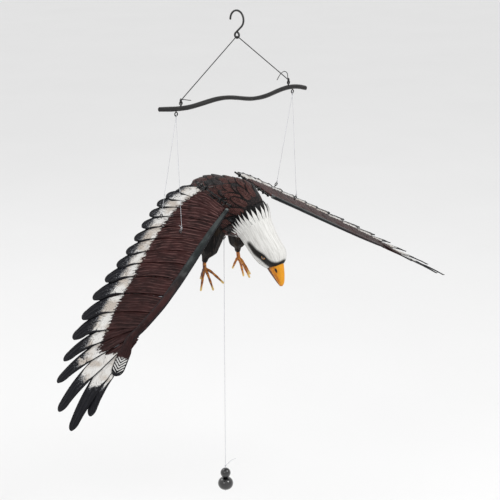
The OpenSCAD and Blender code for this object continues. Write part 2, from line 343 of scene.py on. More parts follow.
def feather_marks(finish):
    """The marks every vane shares, from its own coordinates: across, up from the tip, and its number."""
    across, up, number = finish.parts(finish.attribute("vane", "Vector"))
    barb_line = up + abs(across) * 1.3
    barbs = finish.noise(finish.joined(barb_line * 1.1, across * 0.16, number), 1.0, 3.0, 0.65)
    hairs = finish.noise(finish.joined(up * 0.10, across * 1.5, number + 7.0), 1.0, 3.0, 0.6)
    return across, up, number, barb_line, barbs, hairs


def wing_top():
    """The painted upper face: brown with raised paler lines, a speckled white band, black tips."""
    finish = Finish("painted_wing_feathers")
    across, up, number, _, barbs, hairs = feather_marks(finish)
    rim = finish.attribute("rim")
    span = finish.attribute("span")
    place = finish.place()
    patch = finish.noise(place, 55.0, 4.0, 0.55)
    speck = finish.noise(place, 620.0, 3.0, 0.6)

    # Brown: raised lines catch paler paint, and the paint darkens towards the wrist.
    wave = finish.math("COSINE", finish.attribute("line") * (2 * math.pi / RIDGE_PITCH))
    broken = finish.step(finish.noise(finish.joined(up * 0.09, across * 0.3, number), 1.0, 2.0), 0.36, 0.6)
    near_root = finish.step(span, 215.0, 60.0, 0.30, 1.0)
    ridge = finish.step(wave, 0.55, 0.98) * broken * near_root
    fine = finish.step(hairs, 0.56, 0.72) * 0.42
    brown = finish.mix(finish.step(patch + (hairs - 0.5) * 0.5, 0.3, 0.68), BROWN_DARK, BROWN)
    brown = finish.mix(finish.step(span, 120.0, 250.0) * 0.45, brown, BROWN_DARK)
    brown = finish.mix(ridge * 0.72, brown, BROWN_RIDGE)
    brown = finish.mix(fine, brown, BROWN_RIDGE)

    # White: beige and grey clouds, dark flecks that lie along the barbs.
    white = finish.mix(finish.step(patch, 0.42, 0.64), WHITE_FEATHER, BEIGE_FEATHER)
    white = finish.mix(finish.step(barbs, 0.52, 0.70) * 0.6, white, GREY_FEATHER)
    white_depth = finish.attribute("white")
    black_depth = finish.attribute("black")
    busy = finish.step(black_depth, -12.0, 2.0, 0.0, 0.13) + finish.step(white_depth, 5.0, 0.0, 0.0, 0.05)
    fleck = finish.step(barbs * 0.62 + speck * 0.38 + busy, 0.625, 0.66)
    white = finish.mix(fleck, white, BLACK_FEATHER)

    # Black tips: grey speckle inside a solid rim.
    barb_light = finish.step(barbs * 0.6 + hairs * 0.4, 0.50, 0.64)
    young = finish.step(black_depth, 14.0, 0.0)
    tip = finish.mix(barb_light * (0.55 + young * 0.45), BLACK_FEATHER, BLACK_BARB)
    tip = finish.mix(finish.step(speck + young * 0.12, 0.63, 0.70) * young * 0.8, tip, GREY_FEATHER)

    tongue = finish.noise(finish.joined(up * 0.16, across * 0.4, number), 1.0, 2.0) - 0.5
    ragged = tongue * 13.0 + (barbs - 0.5) * 9.0
    is_white = finish.step(white_depth + ragged, -0.7, 0.9)
    is_black = finish.step(black_depth + (barbs - 0.5) * 14.0 + (speck - 0.5) * 8.0, -1.6, 1.6)
    colour = finish.mix(is_white, brown, white)
    edging = finish.step(abs(white_depth + ragged), 2.2, 0.6) * finish.step(speck, 0.50, 0.58)
    colour = finish.mix(edging * 0.9, colour, BLACK_FEATHER)
    colour = finish.mix(is_black, colour, tip)
    rim_wide = finish.step(black_depth, -12.0, 0.0, 0.7, 2.7)
    is_rim = finish.step(rim - rim_wide, 0.35, -0.35) * finish.step(white_depth, -6.0, 2.0)
    colour = finish.mix(is_rim, colour, BLACK_FEATHER)
    return finish.use(Base_Color=colour,
                      Roughness=finish.step(barbs, 0.3, 0.7, 0.42, 0.62),
                      Specular_IOR_Level=DARK_SHEEN,
                      Normal=finish.bump(barbs * 0.6 + hairs * 0.6 + speck * 0.2, 0.55, 0.0006))


def wing_under():
    """The plain lower face: grey-brown with faint barbs, and pale blue-grey behind the leading edge."""
    finish = Finish("painted_wing_underside")
    *_, barbs, hairs = feather_marks(finish)
    patch = finish.noise(finish.place(), 45.0, 4.0, 0.6)
    lead = finish.attribute("lead")
    pale = finish.step(lead + (patch - 0.5) * 24.0, 24.0, 8.0)
    colour = finish.mix(finish.step(hairs, 0.4, 0.65), (0.022, 0.017, 0.017), (0.060, 0.048, 0.047))
    colour = finish.mix(pale * 0.8, colour, (0.27, 0.30, 0.34))
    colour = finish.mix(finish.step(finish.attribute("black"), -8.0, 4.0), colour, BLACK_FEATHER)
    colour = finish.mix(finish.step(barbs, 0.58, 0.7) * 0.3, colour, (0.12, 0.12, 0.125))
    return finish.use(Base_Color=colour, Roughness=finish.step(patch, 0.3, 0.7, 0.5, 0.66),
                      Specular_IOR_Level=DARK_SHEEN, Normal=finish.bump(barbs + hairs, 0.4, 0.0005))


def wing_arm_paint():
    """The thick front edge: smooth grey-green at the root, brown with hair strokes further out."""
    finish = Finish("painted_wing_front_edge")
    span = finish.attribute("span")
    across_edge = finish.attribute("across_edge")
    place = finish.place()
    hairs = finish.noise(finish.joined(span * 0.12, across_edge * 26.0, 3.0), 1.0, 3.0, 0.6)
    patch = finish.noise(place, 60.0, 4.0)
    brown = finish.mix(finish.step(patch, 0.35, 0.7), BROWN_DARK, BROWN)
    brown = finish.mix(finish.step(hairs, 0.55, 0.7) * 0.4, brown, BROWN_RIDGE)
    # Painted sheen: lighter patches over the dark grey-green strip.
    shine = finish.step(hairs * 0.4 + patch * 0.6, 0.42, 0.62)
    green = finish.mix(shine, STRIP_DARK, STRIP_HIGHLIGHT)
    # Painted glint: a light grey spot on the strip's root end.
    dot = finish.step(span, 10.5, 8.5)
    green = finish.mix(dot * 0.5, green, (0.22, 0.24, 0.24))
    is_green = finish.step(span + (hairs - 0.5) * 60.0, 158.0, 96.0)
    colour = finish.mix(is_green, brown, green)
    is_edge = finish.step(across_edge, 0.42, 0.86) + finish.step(across_edge, -0.50, -0.90)
    colour = finish.mix(is_edge * 0.85, colour, BLACK_FEATHER)
    wrist = finish.step(span + (hairs - 0.5) * 16.0, 243.0, 249.0)
    chevron = finish.step(finish.math("SINE", (span + across_edge * 6.0) * 2.2), -0.1, 0.35)
    barred = finish.mix(chevron, WHITE_FEATHER, BLACK_FEATHER)
    colour = finish.mix(wrist, colour, barred)
    return finish.use(Base_Color=colour, Roughness=finish.step(patch, 0.3, 0.7, 0.34, 0.5),
                      Specular_IOR_Level=DARK_SHEEN, Normal=finish.bump(hairs + patch * 0.5, 0.35, 0.0004))


def alula_paint():
    """Barred white feather with a black tip and black chevrons."""
    finish = Finish("barred_wrist_feather")
    across, up, _, _, barbs, hairs = feather_marks(finish)
    bars = finish.math("SINE", (up - abs(across) * 1.2 + (barbs - 0.5) * 3.0) * 1.5)
    dark = finish.step(bars + finish.step(up, 12.0, 2.0) * 1.2, -0.1, 0.2)
    dark = finish.math("MAXIMUM", dark, finish.step(finish.attribute("rim"), 1.3, 0.8))
    colour = finish.mix(finish.step(barbs, 0.4, 0.62), WHITE_FEATHER, (0.42, 0.42, 0.41))
    colour = finish.mix(dark, colour, BLACK_FEATHER)
    brown = finish.mix(finish.step(hairs, 0.45, 0.65), BROWN_DARK, BROWN)
    colour = finish.mix(finish.step(up + (barbs - 0.5) * 8.0, 23.0, 26.0), colour, brown)
    return finish.use(Base_Color=colour, Specular_IOR_Level=DARK_SHEEN,
                      Roughness=finish.step(barbs, 0.3, 0.7, 0.42, 0.6),
                      Normal=finish.bump(barbs, 0.5, 0.0005))


def body_paint(name, brown_share, comb=1.0):
    """Body feathers: each brown or dark grey, with comb-like barbs and a black outline."""
    finish = Finish(name)
    across, _, number, barb_line, barbs, hairs = feather_marks(finish)
    rim = finish.attribute("rim")
    place = finish.place()
    patch = finish.noise(place, 38.0, 3.0, 0.6)
    tint = finish.node("TexWhiteNoise", {"noise_dimensions": "1D"}, {"W": number})
    is_brown = finish.step(patch * 0.75 + tint * 0.6, 0.77 - brown_share * 0.4, 0.86 - brown_share * 0.4)
    base = finish.mix(is_brown, (0.005, 0.0048, 0.0052), (0.034, 0.0110, 0.0098))
    light = finish.mix(is_brown, (0.082, 0.082, 0.084), (0.150, 0.070, 0.060))
    lines = finish.step(finish.math("SINE", (barb_line + (barbs - 0.5) * 3.5) * 2.3), 0.25, 0.95)
    colour = finish.mix(lines * 0.8 * comb, base, light)
    colour = finish.mix(finish.step(hairs, 0.58, 0.7) * 0.25, colour, light)
    colour = finish.mix(finish.step(rim, 2.3, 1.0), colour, (0.0030, 0.0028, 0.0030))
    colour = finish.mix(finish.step(abs(across), 0.5, 0.2) * 0.6, colour, (0.006, 0.005, 0.005))
    return finish.use(Base_Color=colour, Roughness=finish.step(barbs, 0.3, 0.7, 0.4, 0.6),
                      Specular_IOR_Level=DARK_SHEEN, Normal=finish.bump(lines + barbs, 0.5, 0.0005))


def skin_paint():
    """The dark ground under the body feathers."""
    finish = Finish("body_ground_paint")
    strokes = finish.noise(finish.stretched(finish.place(), (1, 0.25, 1)), 500.0, 4.0, 0.6)
    return finish.use(Base_Color=finish.mix(finish.step(strokes, 0.45, 0.7), (0.006, 0.0055, 0.006),
                                            (0.045, 0.03, 0.028)),
                      Roughness=finish.step(strokes, 0.3, 0.7, 0.45, 0.65),
                      Specular_IOR_Level=DARK_SHEEN, Normal=finish.bump(strokes, 0.5, 0.0005))


def head_paint():
    """White head: fine grey hair strokes, more of them underneath, a painted shade over the underside, and a
    black band at the eye.
    """
    finish = Finish("white_head_feathers")
    forward = finish.attribute("forward")
    turn = finish.attribute("turn")
    facing_down = finish.attribute("facing_down")
    band = finish.attribute("band")
    hairs = finish.noise(finish.joined(forward * 0.10, turn * 46.0, 1.0), 1.0, 4.0, 0.62)
    soft = finish.noise(finish.joined(forward * 0.045, turn * 11.0, 5.0), 1.0, 2.0)
    white = finish.mix(finish.step(hairs * 0.55 + soft * 0.45, 0.42, 0.63), (0.74, 0.735, 0.71),
                       (0.53, 0.525, 0.50))
    # Grey hair strokes grow denser where the head faces down: partly hair, partly painted shade.
    grey = finish.step(hairs + facing_down * 0.14, 0.60, 0.74) * finish.step(facing_down, -0.4, 0.8, 0.12, 0.75)
    white = finish.mix(grey, white, (0.16, 0.158, 0.155))
    # Painted shade: the underside of the head greyed.
    white = finish.mix(finish.step(facing_down, 0.1, 1.0) * 0.35, white, (0.28, 0.28, 0.27))
    edge = (hairs - 0.5) * 3.0
    colour = finish.mix(finish.step(band + edge, 6.4, 2.2), white, (0.008, 0.007, 0.006))
    # Black between the white neck feathers.
    gap = finish.step(forward + (hairs - 0.5) * 4.0, 16.5, 14.5)
    colour = finish.mix(gap, colour, (0.006, 0.0055, 0.006))
    return finish.use(Base_Color=colour, Roughness=finish.step(hairs, 0.3, 0.7, 0.42, 0.58),
                      Specular_IOR_Level=0.15, Normal=finish.bump(hairs + soft, 0.45, 0.0006))


def white_tooth_paint():
    """The pointed white neck feathers."""
    finish = Finish("white_neck_feathers")
    *_, barbs, hairs = feather_marks(finish)
    colour = finish.mix(finish.step(hairs, 0.45, 0.68), (0.74, 0.735, 0.71), (0.40, 0.395, 0.38))
    colour = finish.mix(finish.step(finish.attribute("rim"), 0.35, 0.1) * 0.5, colour, (0.1, 0.1, 0.1))
    return finish.use(Base_Color=colour, Roughness=finish.step(barbs, 0.3, 0.7, 0.45, 0.6),
                      Normal=finish.bump(hairs, 0.5, 0.0005))


def beak_paint():
    """Orange-yellow beak: darker below the mouth line and at the nostril, with a painted highlight along the
    top.
    """
    finish = Finish("beak_enamel")
    forward = finish.attribute("forward")
    facing_down = finish.attribute("facing_down")
    grain = finish.noise(finish.stretched(finish.place(), (2.2, 0.7, 0.7)), 260.0, 4.0, 0.6)
    colour = finish.mix(finish.step(grain, 0.35, 0.65), (0.66, 0.255, 0.006), (0.44, 0.125, 0.003))
    # Painted highlight: paler orange along the top of the beak.
    colour = finish.mix(finish.step(facing_down, -0.35, -0.9) * 0.6, colour, (0.80, 0.36, 0.014))
    # Darker over the lower part of the beak, below the mouth line.
    colour = finish.mix(finish.step(facing_down + (grain - 0.5) * 0.5, 0.10, 0.50), colour, (0.10, 0.026, 0.004))
    nostril = finish.attribute("nostril") + (grain - 0.5) * 1.6
    colour = finish.mix(finish.step(nostril, 1.9, 1.2), colour, (0.02, 0.008, 0.004))
    root = forward + (grain - 0.5) * 0.10
    colour = finish.mix(finish.step(root, 0.20, 0.09), colour, (0.012, 0.009, 0.007))
    colour = finish.mix(finish.step(forward, 0.86, 1.0) * 0.5, colour, (0.42, 0.13, 0.01))
    return finish.use(Base_Color=colour, Roughness=finish.step(grain, 0.3, 0.7, 0.28, 0.42),
                      Specular_IOR_Level=0.3, Normal=finish.bump(grain, 0.2, 0.0004))


def eye_paint():
    """Amber eye with a dark pupil and a clear gloss."""
    finish = Finish("amber_eye")
    gaze = finish.attribute("gaze")
    flecks = finish.noise(finish.place(), 1500.0, 3.0)
    colour = finish.mix(flecks, (0.75, 0.34, 0.03), (0.42, 0.14, 0.01))
    colour = finish.mix(finish.step(gaze, 0.80, 0.88), colour, (0.004, 0.004, 0.004))
    colour = finish.mix(finish.step(gaze, 0.42, 0.30), colour, (0.01, 0.006, 0.004))
    return finish.use(Base_Color=colour, Roughness=finish.step(flecks, 0.3, 0.7, 0.08, 0.16),
                      Coat_Weight=1.0)


def tail_paint():
    """Dark blue-grey tail feathers with black edges."""
    finish = Finish("slate_tail_feathers")
    across, *_, barbs, hairs = feather_marks(finish)
    colour = finish.mix(finish.step(barbs, 0.4, 0.66), (0.013, 0.015, 0.021), (0.080, 0.088, 0.108))
    colour = finish.mix(finish.step(finish.attribute("rim"), 1.2, 0.5), colour, (0.005, 0.005, 0.007))
    colour = finish.mix(finish.step(abs(across), 0.45, 0.15) * 0.7, colour, (0.006, 0.006, 0.008))
    return finish.use(Base_Color=colour, Roughness=finish.step(hairs, 0.3, 0.7, 0.42, 0.6),
                      Specular_IOR_Level=DARK_SHEEN, Normal=finish.bump(barbs + hairs, 0.5, 0.0005))


def thigh_paint():
    """Black thigh feathers, in long strokes with brown at their edges."""
    finish = Finish("black_thigh_feathers")
    place = finish.place()
    strokes = finish.noise(finish.stretched(place, (1, 1, 0.16)), 520.0, 4.0, 0.62)
    patch = finish.noise(place, 90.0, 3.0)
    colour = finish.mix(finish.step(strokes, 0.5, 0.68), (0.0065, 0.006, 0.006), (0.040, 0.030, 0.026))
    colour = finish.mix(finish.step(patch, 0.55, 0.7) * 0.5, colour, (0.035, 0.022, 0.012))
    return finish.use(Base_Color=colour, Roughness=finish.step(strokes, 0.3, 0.7, 0.45, 0.65),
                      Specular_IOR_Level=DARK_SHEEN, Normal=finish.bump(strokes, 0.7, 0.0009))


def foot_paint():
    """Orange-amber feet: brown in the joints, a painted shade down one side, pale at the toe tips."""
    finish = Finish("amber_feet")
    reach = finish.attribute("reach")
    under = finish.attribute("facing_down")
    place = finish.place()
    scales = finish.math("SINE", (reach * 170.0))
    cloud = finish.noise(place, 330.0, 4.0, 0.62)
    colour = finish.mix(finish.step(cloud, 0.32, 0.62), (0.66, 0.25, 0.016), (0.27, 0.065, 0.006))
    # Painted shade: darker down the side of each leg and toe that faces down and outward.
    dark = finish.step(under + (cloud - 0.5) * 1.6, -0.1, 0.55)
    colour = finish.mix(dark * 0.85, colour, (0.060, 0.012, 0.004))
    colour = finish.mix(finish.step(scales, 0.3, 1.0) * 0.25, colour, (0.12, 0.03, 0.005))
    colour = finish.mix(finish.step(reach, 0.86, 0.97) * 0.8, colour, (0.80, 0.58, 0.20))
    return finish.use(Base_Color=colour, Roughness=finish.step(cloud, 0.3, 0.7, 0.35, 0.5),
                      Normal=finish.bump(scales * 0.5 + cloud, 0.4, 0.0004))


def knob_lacquer():
    """Deep black lacquer over turned wood."""
    finish = Finish("black_knob_lacquer")
    rings = finish.noise(finish.stretched(finish.place(), (1, 1, 6)), 120.0, 3.0)
    dust = finish.noise(finish.place(), 1400.0, 2.0)
    return finish.use(Base_Color=finish.mix(finish.step(rings, 0.4, 0.7), (0.0035, 0.0035, 0.004),
                                            (0.010, 0.010, 0.011)),
                      Roughness=finish.step(dust, 0.35, 0.7, 0.06, 0.16),
                      Coat_Weight=0.8, Normal=finish.bump(rings, 0.06, 0.0004))


def bar_paint():
    """Black enamel on a bent bar, with long drawn streaks."""
    finish = Finish("black_bar_enamel")
    place = finish.place()
    streaks = finish.noise(finish.stretched(place, (0.10, 1, 1)), 700.0, 4.0, 0.6)
    patch = finish.noise(place, 110.0, 3.0)
    colour = finish.mix(finish.step(streaks, 0.55, 0.74), (0.0075, 0.007, 0.007), (0.055, 0.052, 0.050))
    return finish.use(Base_Color=colour, Roughness=finish.step(patch, 0.3, 0.7, 0.20, 0.38),
                      Specular_IOR_Level=0.3, Normal=finish.bump(streaks + patch * 0.6, 0.5, 0.0006))


# ---- Camera, light and floor ----

CAMERA_ACROSS = Vector((0.6756, -0.7373, 0))
CAMERA_UP = Vector((0.2205, 0.2020, 0.9542))
CAMERA_BACK = CAMERA_ACROSS.cross(CAMERA_UP)
FLOOR_Z = -0.80


def set_camera():
    """The camera looks down a little at the bird's right front."""
    data = bpy.data.cameras.new("camera")
    data.lens = 86.4
    data.sensor_width = 36
    data.clip_end = 60
    camera = bpy.data.objects.new("camera", data)
    bpy.context.scene.collection.objects.link(camera)
    at = (bird_at + 1508 * CAMERA_BACK + 21.6 * CAMERA_ACROSS - 76.9 * CAMERA_UP) * 0.001
    turn = Matrix((CAMERA_ACROSS, CAMERA_UP, CAMERA_BACK)).transposed().to_4x4()
    camera.matrix_world = Matrix.Translation(at) @ turn
    bpy.context.scene.camera = camera


def soft_light(name, place, size, power):
    """A square soft light that faces the bird."""
    data = bpy.data.lights.new(name, "AREA")
    data.size = size
    data.energy = power
    light = bpy.data.objects.new(name, data)
    bpy.context.scene.collection.objects.link(light)
    middle = bird_at * 0.001
    light.matrix_world = (Matrix.Translation(place)
                          @ (Vector(place) - middle).to_track_quat("Z", "Y").to_matrix().to_4x4())


def set_studio():
    """A white floor that runs into a white room, and soft lights from above and in front."""
    finish = Finish("floor_paper")
    paper = finish.noise(finish.place(), 3.0, 3.0)
    white = finish.use(Base_Color=finish.mix(paper, (0.80, 0.80, 0.80), (0.83, 0.83, 0.83)),
                       Roughness=0.9, Specular_IOR_Level=0.1)
    bm = bmesh.new()
    bmesh.ops.create_circle(bm, cap_ends=True, radius=40, segments=64,
                            matrix=Matrix.Translation((0, 0, FLOOR_Z)))
    mesh = bpy.data.meshes.new("studio_floor")
    bm.to_mesh(mesh)
    bm.free()
    mesh.materials.append(white)
    floor = bpy.data.objects.new("studio_floor", mesh)
    bpy.context.scene.collection.objects.link(floor)
    world = bpy.data.worlds.new("white_room")
    world.use_nodes = True
    background = world.node_tree.nodes["Background"]
    background.inputs["Color"].default_value = (1, 1, 1, 1)
    background.inputs["Strength"].default_value = 0.93
    bpy.context.scene.world = world
    soft_light("key_light", (0.5, -1.5, 1.2), 0.8, 15)
    soft_light("side_light", (-1.5, -0.4, 0.7), 0.8, 5)
    soft_light("back_light", (-0.3, 1.6, 1.0), 1.0, 6)
    bpy.context.scene.view_settings.view_transform = "Standard"


# ---- Hanger ----

BAR_LENGTH = 260
BAR_Z = -103.537
TIE_X = 96
RING_X = 104
CORD_D = 1.2
APEX_Z = -29.657
CORD_BEND = 2.4
LINE_D = 0.5
LINE_START_Z = -113.137
LIFT_S = 74
LIFT_Y = {"front": -23, "rear": 13}
LIFT_UP = 7.1
LINE_STOP_UP = 4.7


def bar_wave(share):
    """How far the bar's wave stands up at a share of its length, before it is levelled."""
    return 3.6 * (0.5 + 0.8 * share) * math.cos(2 * math.pi * (share - 0.39) / 0.49)


def bar_middle(x):
    """A point on the bar's middle line, levelled so that both lower eyes hang equally high."""
    right, left = (bar_wave(side * RING_X / BAR_LENGTH + 0.5) for side in (-1, 1))
    wave = bar_wave(x / BAR_LENGTH + 0.5)
    return Vector((x, 0, BAR_Z + wave - (right + left) / 2 - (left - right) / 2 * x / RING_X))


RING_ANGLES = [math.radians(30 * k) for k in range(13)]


def tie_knot(side):
    """Where the black cord is tied, over the bar's upper eye."""
    return bar_middle(side * TIE_X) + Vector((0, 0, 9.4))


def line_start(side):
    """Where two of the clear lines start, in the bar's lower eye."""
    return Vector((side * RING_X, 0, LINE_START_Z))


def lift_eye(side, which, up):
    """A point over a wing's lift eye, as the wing hangs at rest."""
    x = hinge_x + LIFT_S * math.cos(droop) + LIFT_UP * math.sin(droop)
    z = LIFT_UP * math.cos(droop) - LIFT_S * math.sin(droop) + up
    return PITCHED @ Vector((side * x, LIFT_Y[which], z))


def hanger_route():
    """The black cord: up from one side of the bar, over the hook's loop, and down to the other."""
    ties = [tie_knot(side) for side in (-1, 1)]
    slope = math.atan2(APEX_Z - ties[1].z, TIE_X)
    turns = [slope * k / 4 for k in (4, 3, 2, 1)]
    bend = [Vector((-CORD_BEND * math.sin(a), 0, APEX_Z - CORD_BEND * (1 - math.cos(a)))) for a in turns]
    rising = [ties[0].lerp(bend[0], k / 6) for k in range(6)] + bend
    falling = [Vector((-point.x, 0, point.z)) for point in reversed(bend)]
    falling += [falling[-1].lerp(ties[1], k / 6) for k in range(1, 7)]
    return rising + [Vector((0, 0, APEX_Z))] + falling


def cord_piece(name, route, diameter, finish, body, replaced):
    """A cord as a curve through its route, in metres."""
    data = bpy.data.curves.new(name, "CURVE")
    data.dimensions = "3D"
    data.bevel_depth = diameter / 2000
    data.bevel_resolution = 3
    data.use_fill_caps = True
    spline = data.splines.new("POLY")
    spline.points.add(len(route) - 1)
    for point, place in zip(spline.points, route):
        point.co = (*(place * 0.001), 1)
    data.materials.append(finish)
    piece = bpy.data.objects.new(name, data)
    bpy.context.scene.collection.objects.link(piece)
    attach(piece, body)
    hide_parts(replaced)
    return piece


def route_length(route):
    """A route's length in metres."""
    return sum((b - a).length for a, b in zip(route, route[1:])) * 0.001


def hang_cords():
    """The black hanger cord and the four clear lines down to the wings."""
    black = twisted_cord("black_braided_cord", (0.006, 0.006, 0.006), (0.05, 0.05, 0.052))
    clear = clear_nylon("clear_lift_line", (0.55, 0.56, 0.60))
    route = hanger_route()
    cord = cord_piece("hanger_cord_braid", route, CORD_D, black, "hanger", "hanger_cord")
    route[0] * 0.001
    route_length(route)
    for side_name, side in (("right", -1), ("left", 1)):
        for which in LIFT_Y:
            start, end = line_start(side), lift_eye(side, which, LINE_STOP_UP)
            route = [start.lerp(end, k / 16) for k in range(17)]
            name = f"{side_name}_{which}_lift_line"
            line = cord_piece(name, route, LINE_D, clear, "hanger",
                              f"line_{side_name}_{which}")
            route_length(route)
    return black, clear


PULL_D = 0.8
PULL_Y = 24
PULL_TOP_Z = -290.037
KNOB_TOP_Z = -616.037
STOP_KNOT_Z = -648.537


def hang_pull_cord():
    """The clear cord from the belly eye down through the knob."""
    clear = clear_nylon("clear_pull_cord", (0.60, 0.61, 0.64))
    drop = PULL_TOP_Z - STOP_KNOT_Z
    route = [Vector((0, PULL_Y, PULL_TOP_Z - drop * k / 24)) for k in range(25)]
    cord = cord_piece("pull_cord_line", route, PULL_D, clear, "pull", "pull_cord")
    route_length(route)
    return clear


def spiral(middle, radius, pitch, turns, steps=12):
    """Points of a coil round an upright line."""
    count = int(turns * steps)
    points = []
    for k in range(count + 1):
        a = 2 * math.pi * k / steps
        rise = pitch * (k / steps - turns / 2)
        points.append(middle + Vector((radius * math.cos(a), radius * math.sin(a), rise)))
    return points


def make_ties(black):
    """The black cord's knots over the bar, with their short tails, one of them curled."""
    tails = {-1: [(0, 0, 0.4), (3, -1, 0.9), (8, -2, -0.2), (14, -2.5, -1.4)],
             1: [(0, 0, 0.3), (-3, -1.4, 3.5), (-5, -2.2, 9), (-11, -2.6, 12.4), (-18, -2.2, 10),
                 (-24, -1.6, 3)]}
    bm = bmesh.new()
    for side in (-1, 1):
        at = tie_knot(side)
        rod(bm, spiral(at, 0.95, 0.85, 3), CORD_D / 2 * 0.9, 8)
        rod(bm, [at + Vector((0, 0, 2.0)), at + Vector((0, 0, -2.2))], CORD_D / 2, 8)
        eye = at + Vector((0, 0, -4.2))
        loop = [eye + Vector((1.15 * math.sin(a), 0.25 * math.cos(a / 2), 2.4 * math.cos(a)))
                for a in RING_ANGLES]
        rod(bm, loop, CORD_D / 2 * 0.85, 8)
        rod(bm, [at + point for point in smooth_line(tails[side], 5)], CORD_D / 2 * 0.8, 8)
    make_piece(bm, "hanger_cord_ties", "hanger", "black_cord", [black], replaces=["hanger_knots"])


def make_line_ties(clear):
    """Small clear knots: a loop through each lower eye of the bar, and one through each lift eye."""
    bm = bmesh.new()
    for side in (-1, 1):
        start = line_start(side)
        rod(bm, spiral(start, 0.55, 0.5, 3), 0.32, 8)
        loop = [start + Vector((0.35 * math.cos(a), 0.95 * math.sin(a), 1.55 + 1.35 * math.cos(a)))
                for a in RING_ANGLES]
        rod(bm, loop, 0.25, 8)
    make_piece(bm, "bar_line_ties", "hanger", "clear_line", [clear], replaces=["line_top_knots"])
    bm = bmesh.new()
    for side in (-1, 1):
        for which in LIFT_Y:
            end = lift_eye(side, which, LINE_STOP_UP)
            rod(bm, spiral(end, 0.5, 0.5, 3), 0.3, 8)
            down = (lift_eye(side, which, 0) - end).normalized()
            across = Vector((0, 1, 0))
            loop = [end + down * (1.9 - 1.9 * math.cos(a)) + across * 1.0 * math.sin(a)
                    for a in RING_ANGLES]
            rod(bm, loop, 0.25, 8)
            tail = [end, end + Vector((1.5 * side, 0.8, 2.2)), end + Vector((2.6 * side, 1.4, 3.0))]
            rod(bm, tail, 0.24, 6)
    make_piece(bm, "wing_line_ties", "hanger", "clear_line", [clear], replaces=["line_end_knots"])


def make_bar(finish):
    """A bent black bar with slight flats and lumps, and square-cut ends."""
    bm = bmesh.new()
    count = 130
    points = [bar_middle(BAR_LENGTH * (k / count - 0.5)) for k in range(count + 1)]
    verts = loft(bm, places_along(points, up=(0, 1, 0)), [(3.0, 3.0)] * len(points), 28)
    for vert in verts:
        middle = bar_middle(vert.co.x)
        out = vert.co - middle
        angle = math.atan2(out.z, out.y)
        lump = noise.noise(Vector((vert.co.x * 0.045, math.cos(angle) * 0.7, math.sin(angle) * 0.7)))
        twist = math.cos(2 * angle + vert.co.x * 0.035)
        vert.co = middle + out * (0.93 + 0.045 * twist + 0.10 * lump)
    make_piece(bm, "bent_bar", "hanger", "bar_paint", [finish], crease=60, replaces=["bar"])


# ---- Knob ----

# Half the height of each ball, and how much wider than high the lower one is, at each side.
UPPER_HALF, LOWER_HALF, LOWER_SPREAD = 7, 8.75, 1.75
# The radius of the hole for the cord, and how much its mouth is rounded.
KNOB_BORE, KNOB_LIP = 0.8, 0.9


def turned(bm, profile, at, steps=64):
    """Spins a profile of (radius, height) points about the upright line through a place."""
    verts = [bm.verts.new(at + Vector((radius, 0, height))) for radius, height in profile]
    edges = [bm.edges.new(pair) for pair in zip(verts, verts[1:])]
    bmesh.ops.spin(bm, geom=verts + edges, cent=at, axis=(0, 0, 1), angle=2 * math.pi,
                   steps=steps, use_merge=True)


def bored_profile(half_height, spread, hole, lip):
    """Half the outline of a bored ball: out over the lip, round, and back up through the hole."""
    top = math.acos((hole + lip - spread) / half_height) if hole + lip > spread else math.pi / 2
    outline = [(spread + half_height * math.cos(a), half_height * math.sin(a))
               for a in (top * (1 - k / 14) for k in range(29)) if a >= -top - 1e-6]
    rim_z = outline[0][1]
    inner = [(hole, -rim_z + lip), (hole, rim_z - lip)]
    return outline + inner + [outline[0]]


def make_knob(finish, clear):
    """Two lacquered balls on the cord, the lower one flattened, over a stop knot."""
    upper_z = KNOB_TOP_Z - UPPER_HALF
    lower_z = upper_z - UPPER_HALF - LOWER_HALF
    pieces = []
    for name, z, half, spread in (("upper", upper_z, UPPER_HALF, 0.0),
                                  ("lower", lower_z, LOWER_HALF, LOWER_SPREAD)):
        bm = bmesh.new()
        turned(bm, bored_profile(half, spread, KNOB_BORE, KNOB_LIP), Vector((0, PULL_Y, z)))
        pieces.append(make_piece(bm, f"{name}_knob_ball", "pull", "knob", [finish], crease=70,
                                 replaces=[f"knob_{name}_ball"]))
    bm = bmesh.new()
    stop = Vector((0, PULL_Y, STOP_KNOT_Z))
    rod(bm, spiral(stop, 0.85, 0.75, 3), 0.5, 8)
    pieces.append(make_piece(bm, "knob_stop_tie", "pull", "pull_line", [clear], replaces=["knob_stop_knot"]))
    bm = bmesh.new()
    above = Vector((0, PULL_Y, KNOB_TOP_Z + 3.0))
    rod(bm, spiral(above, 0.75, 0.7, 3), 0.4, 8)
    tail = [(0.4, 0, 0.3), (3, -2.2, 4.0), (7, -5.2, 8.2), (11, -8.5, 10.2)]
    rod(bm, [above + point for point in smooth_line(tail, 5)], 0.36, 8)
    pieces.append(make_piece(bm, "knob_tail", "pull", "pull_line", [clear]))
    bm = bmesh.new()
    top = Vector((0, PULL_Y, PULL_TOP_Z))
    rod(bm, spiral(top, 0.6, 0.6, 2), 0.36, 8)
    loop = [top + Vector((0, 0.95 * math.sin(a), 1.5 - 1.5 * math.cos(a)))
            for a in RING_ANGLES]
    rod(bm, loop, 0.3, 8)
    pieces.append(make_piece(bm, "pull_cord_tie", "pull", "pull_line", [clear], replaces=["pull_top_knot"]))
    return pieces


# ---- Feathers ----

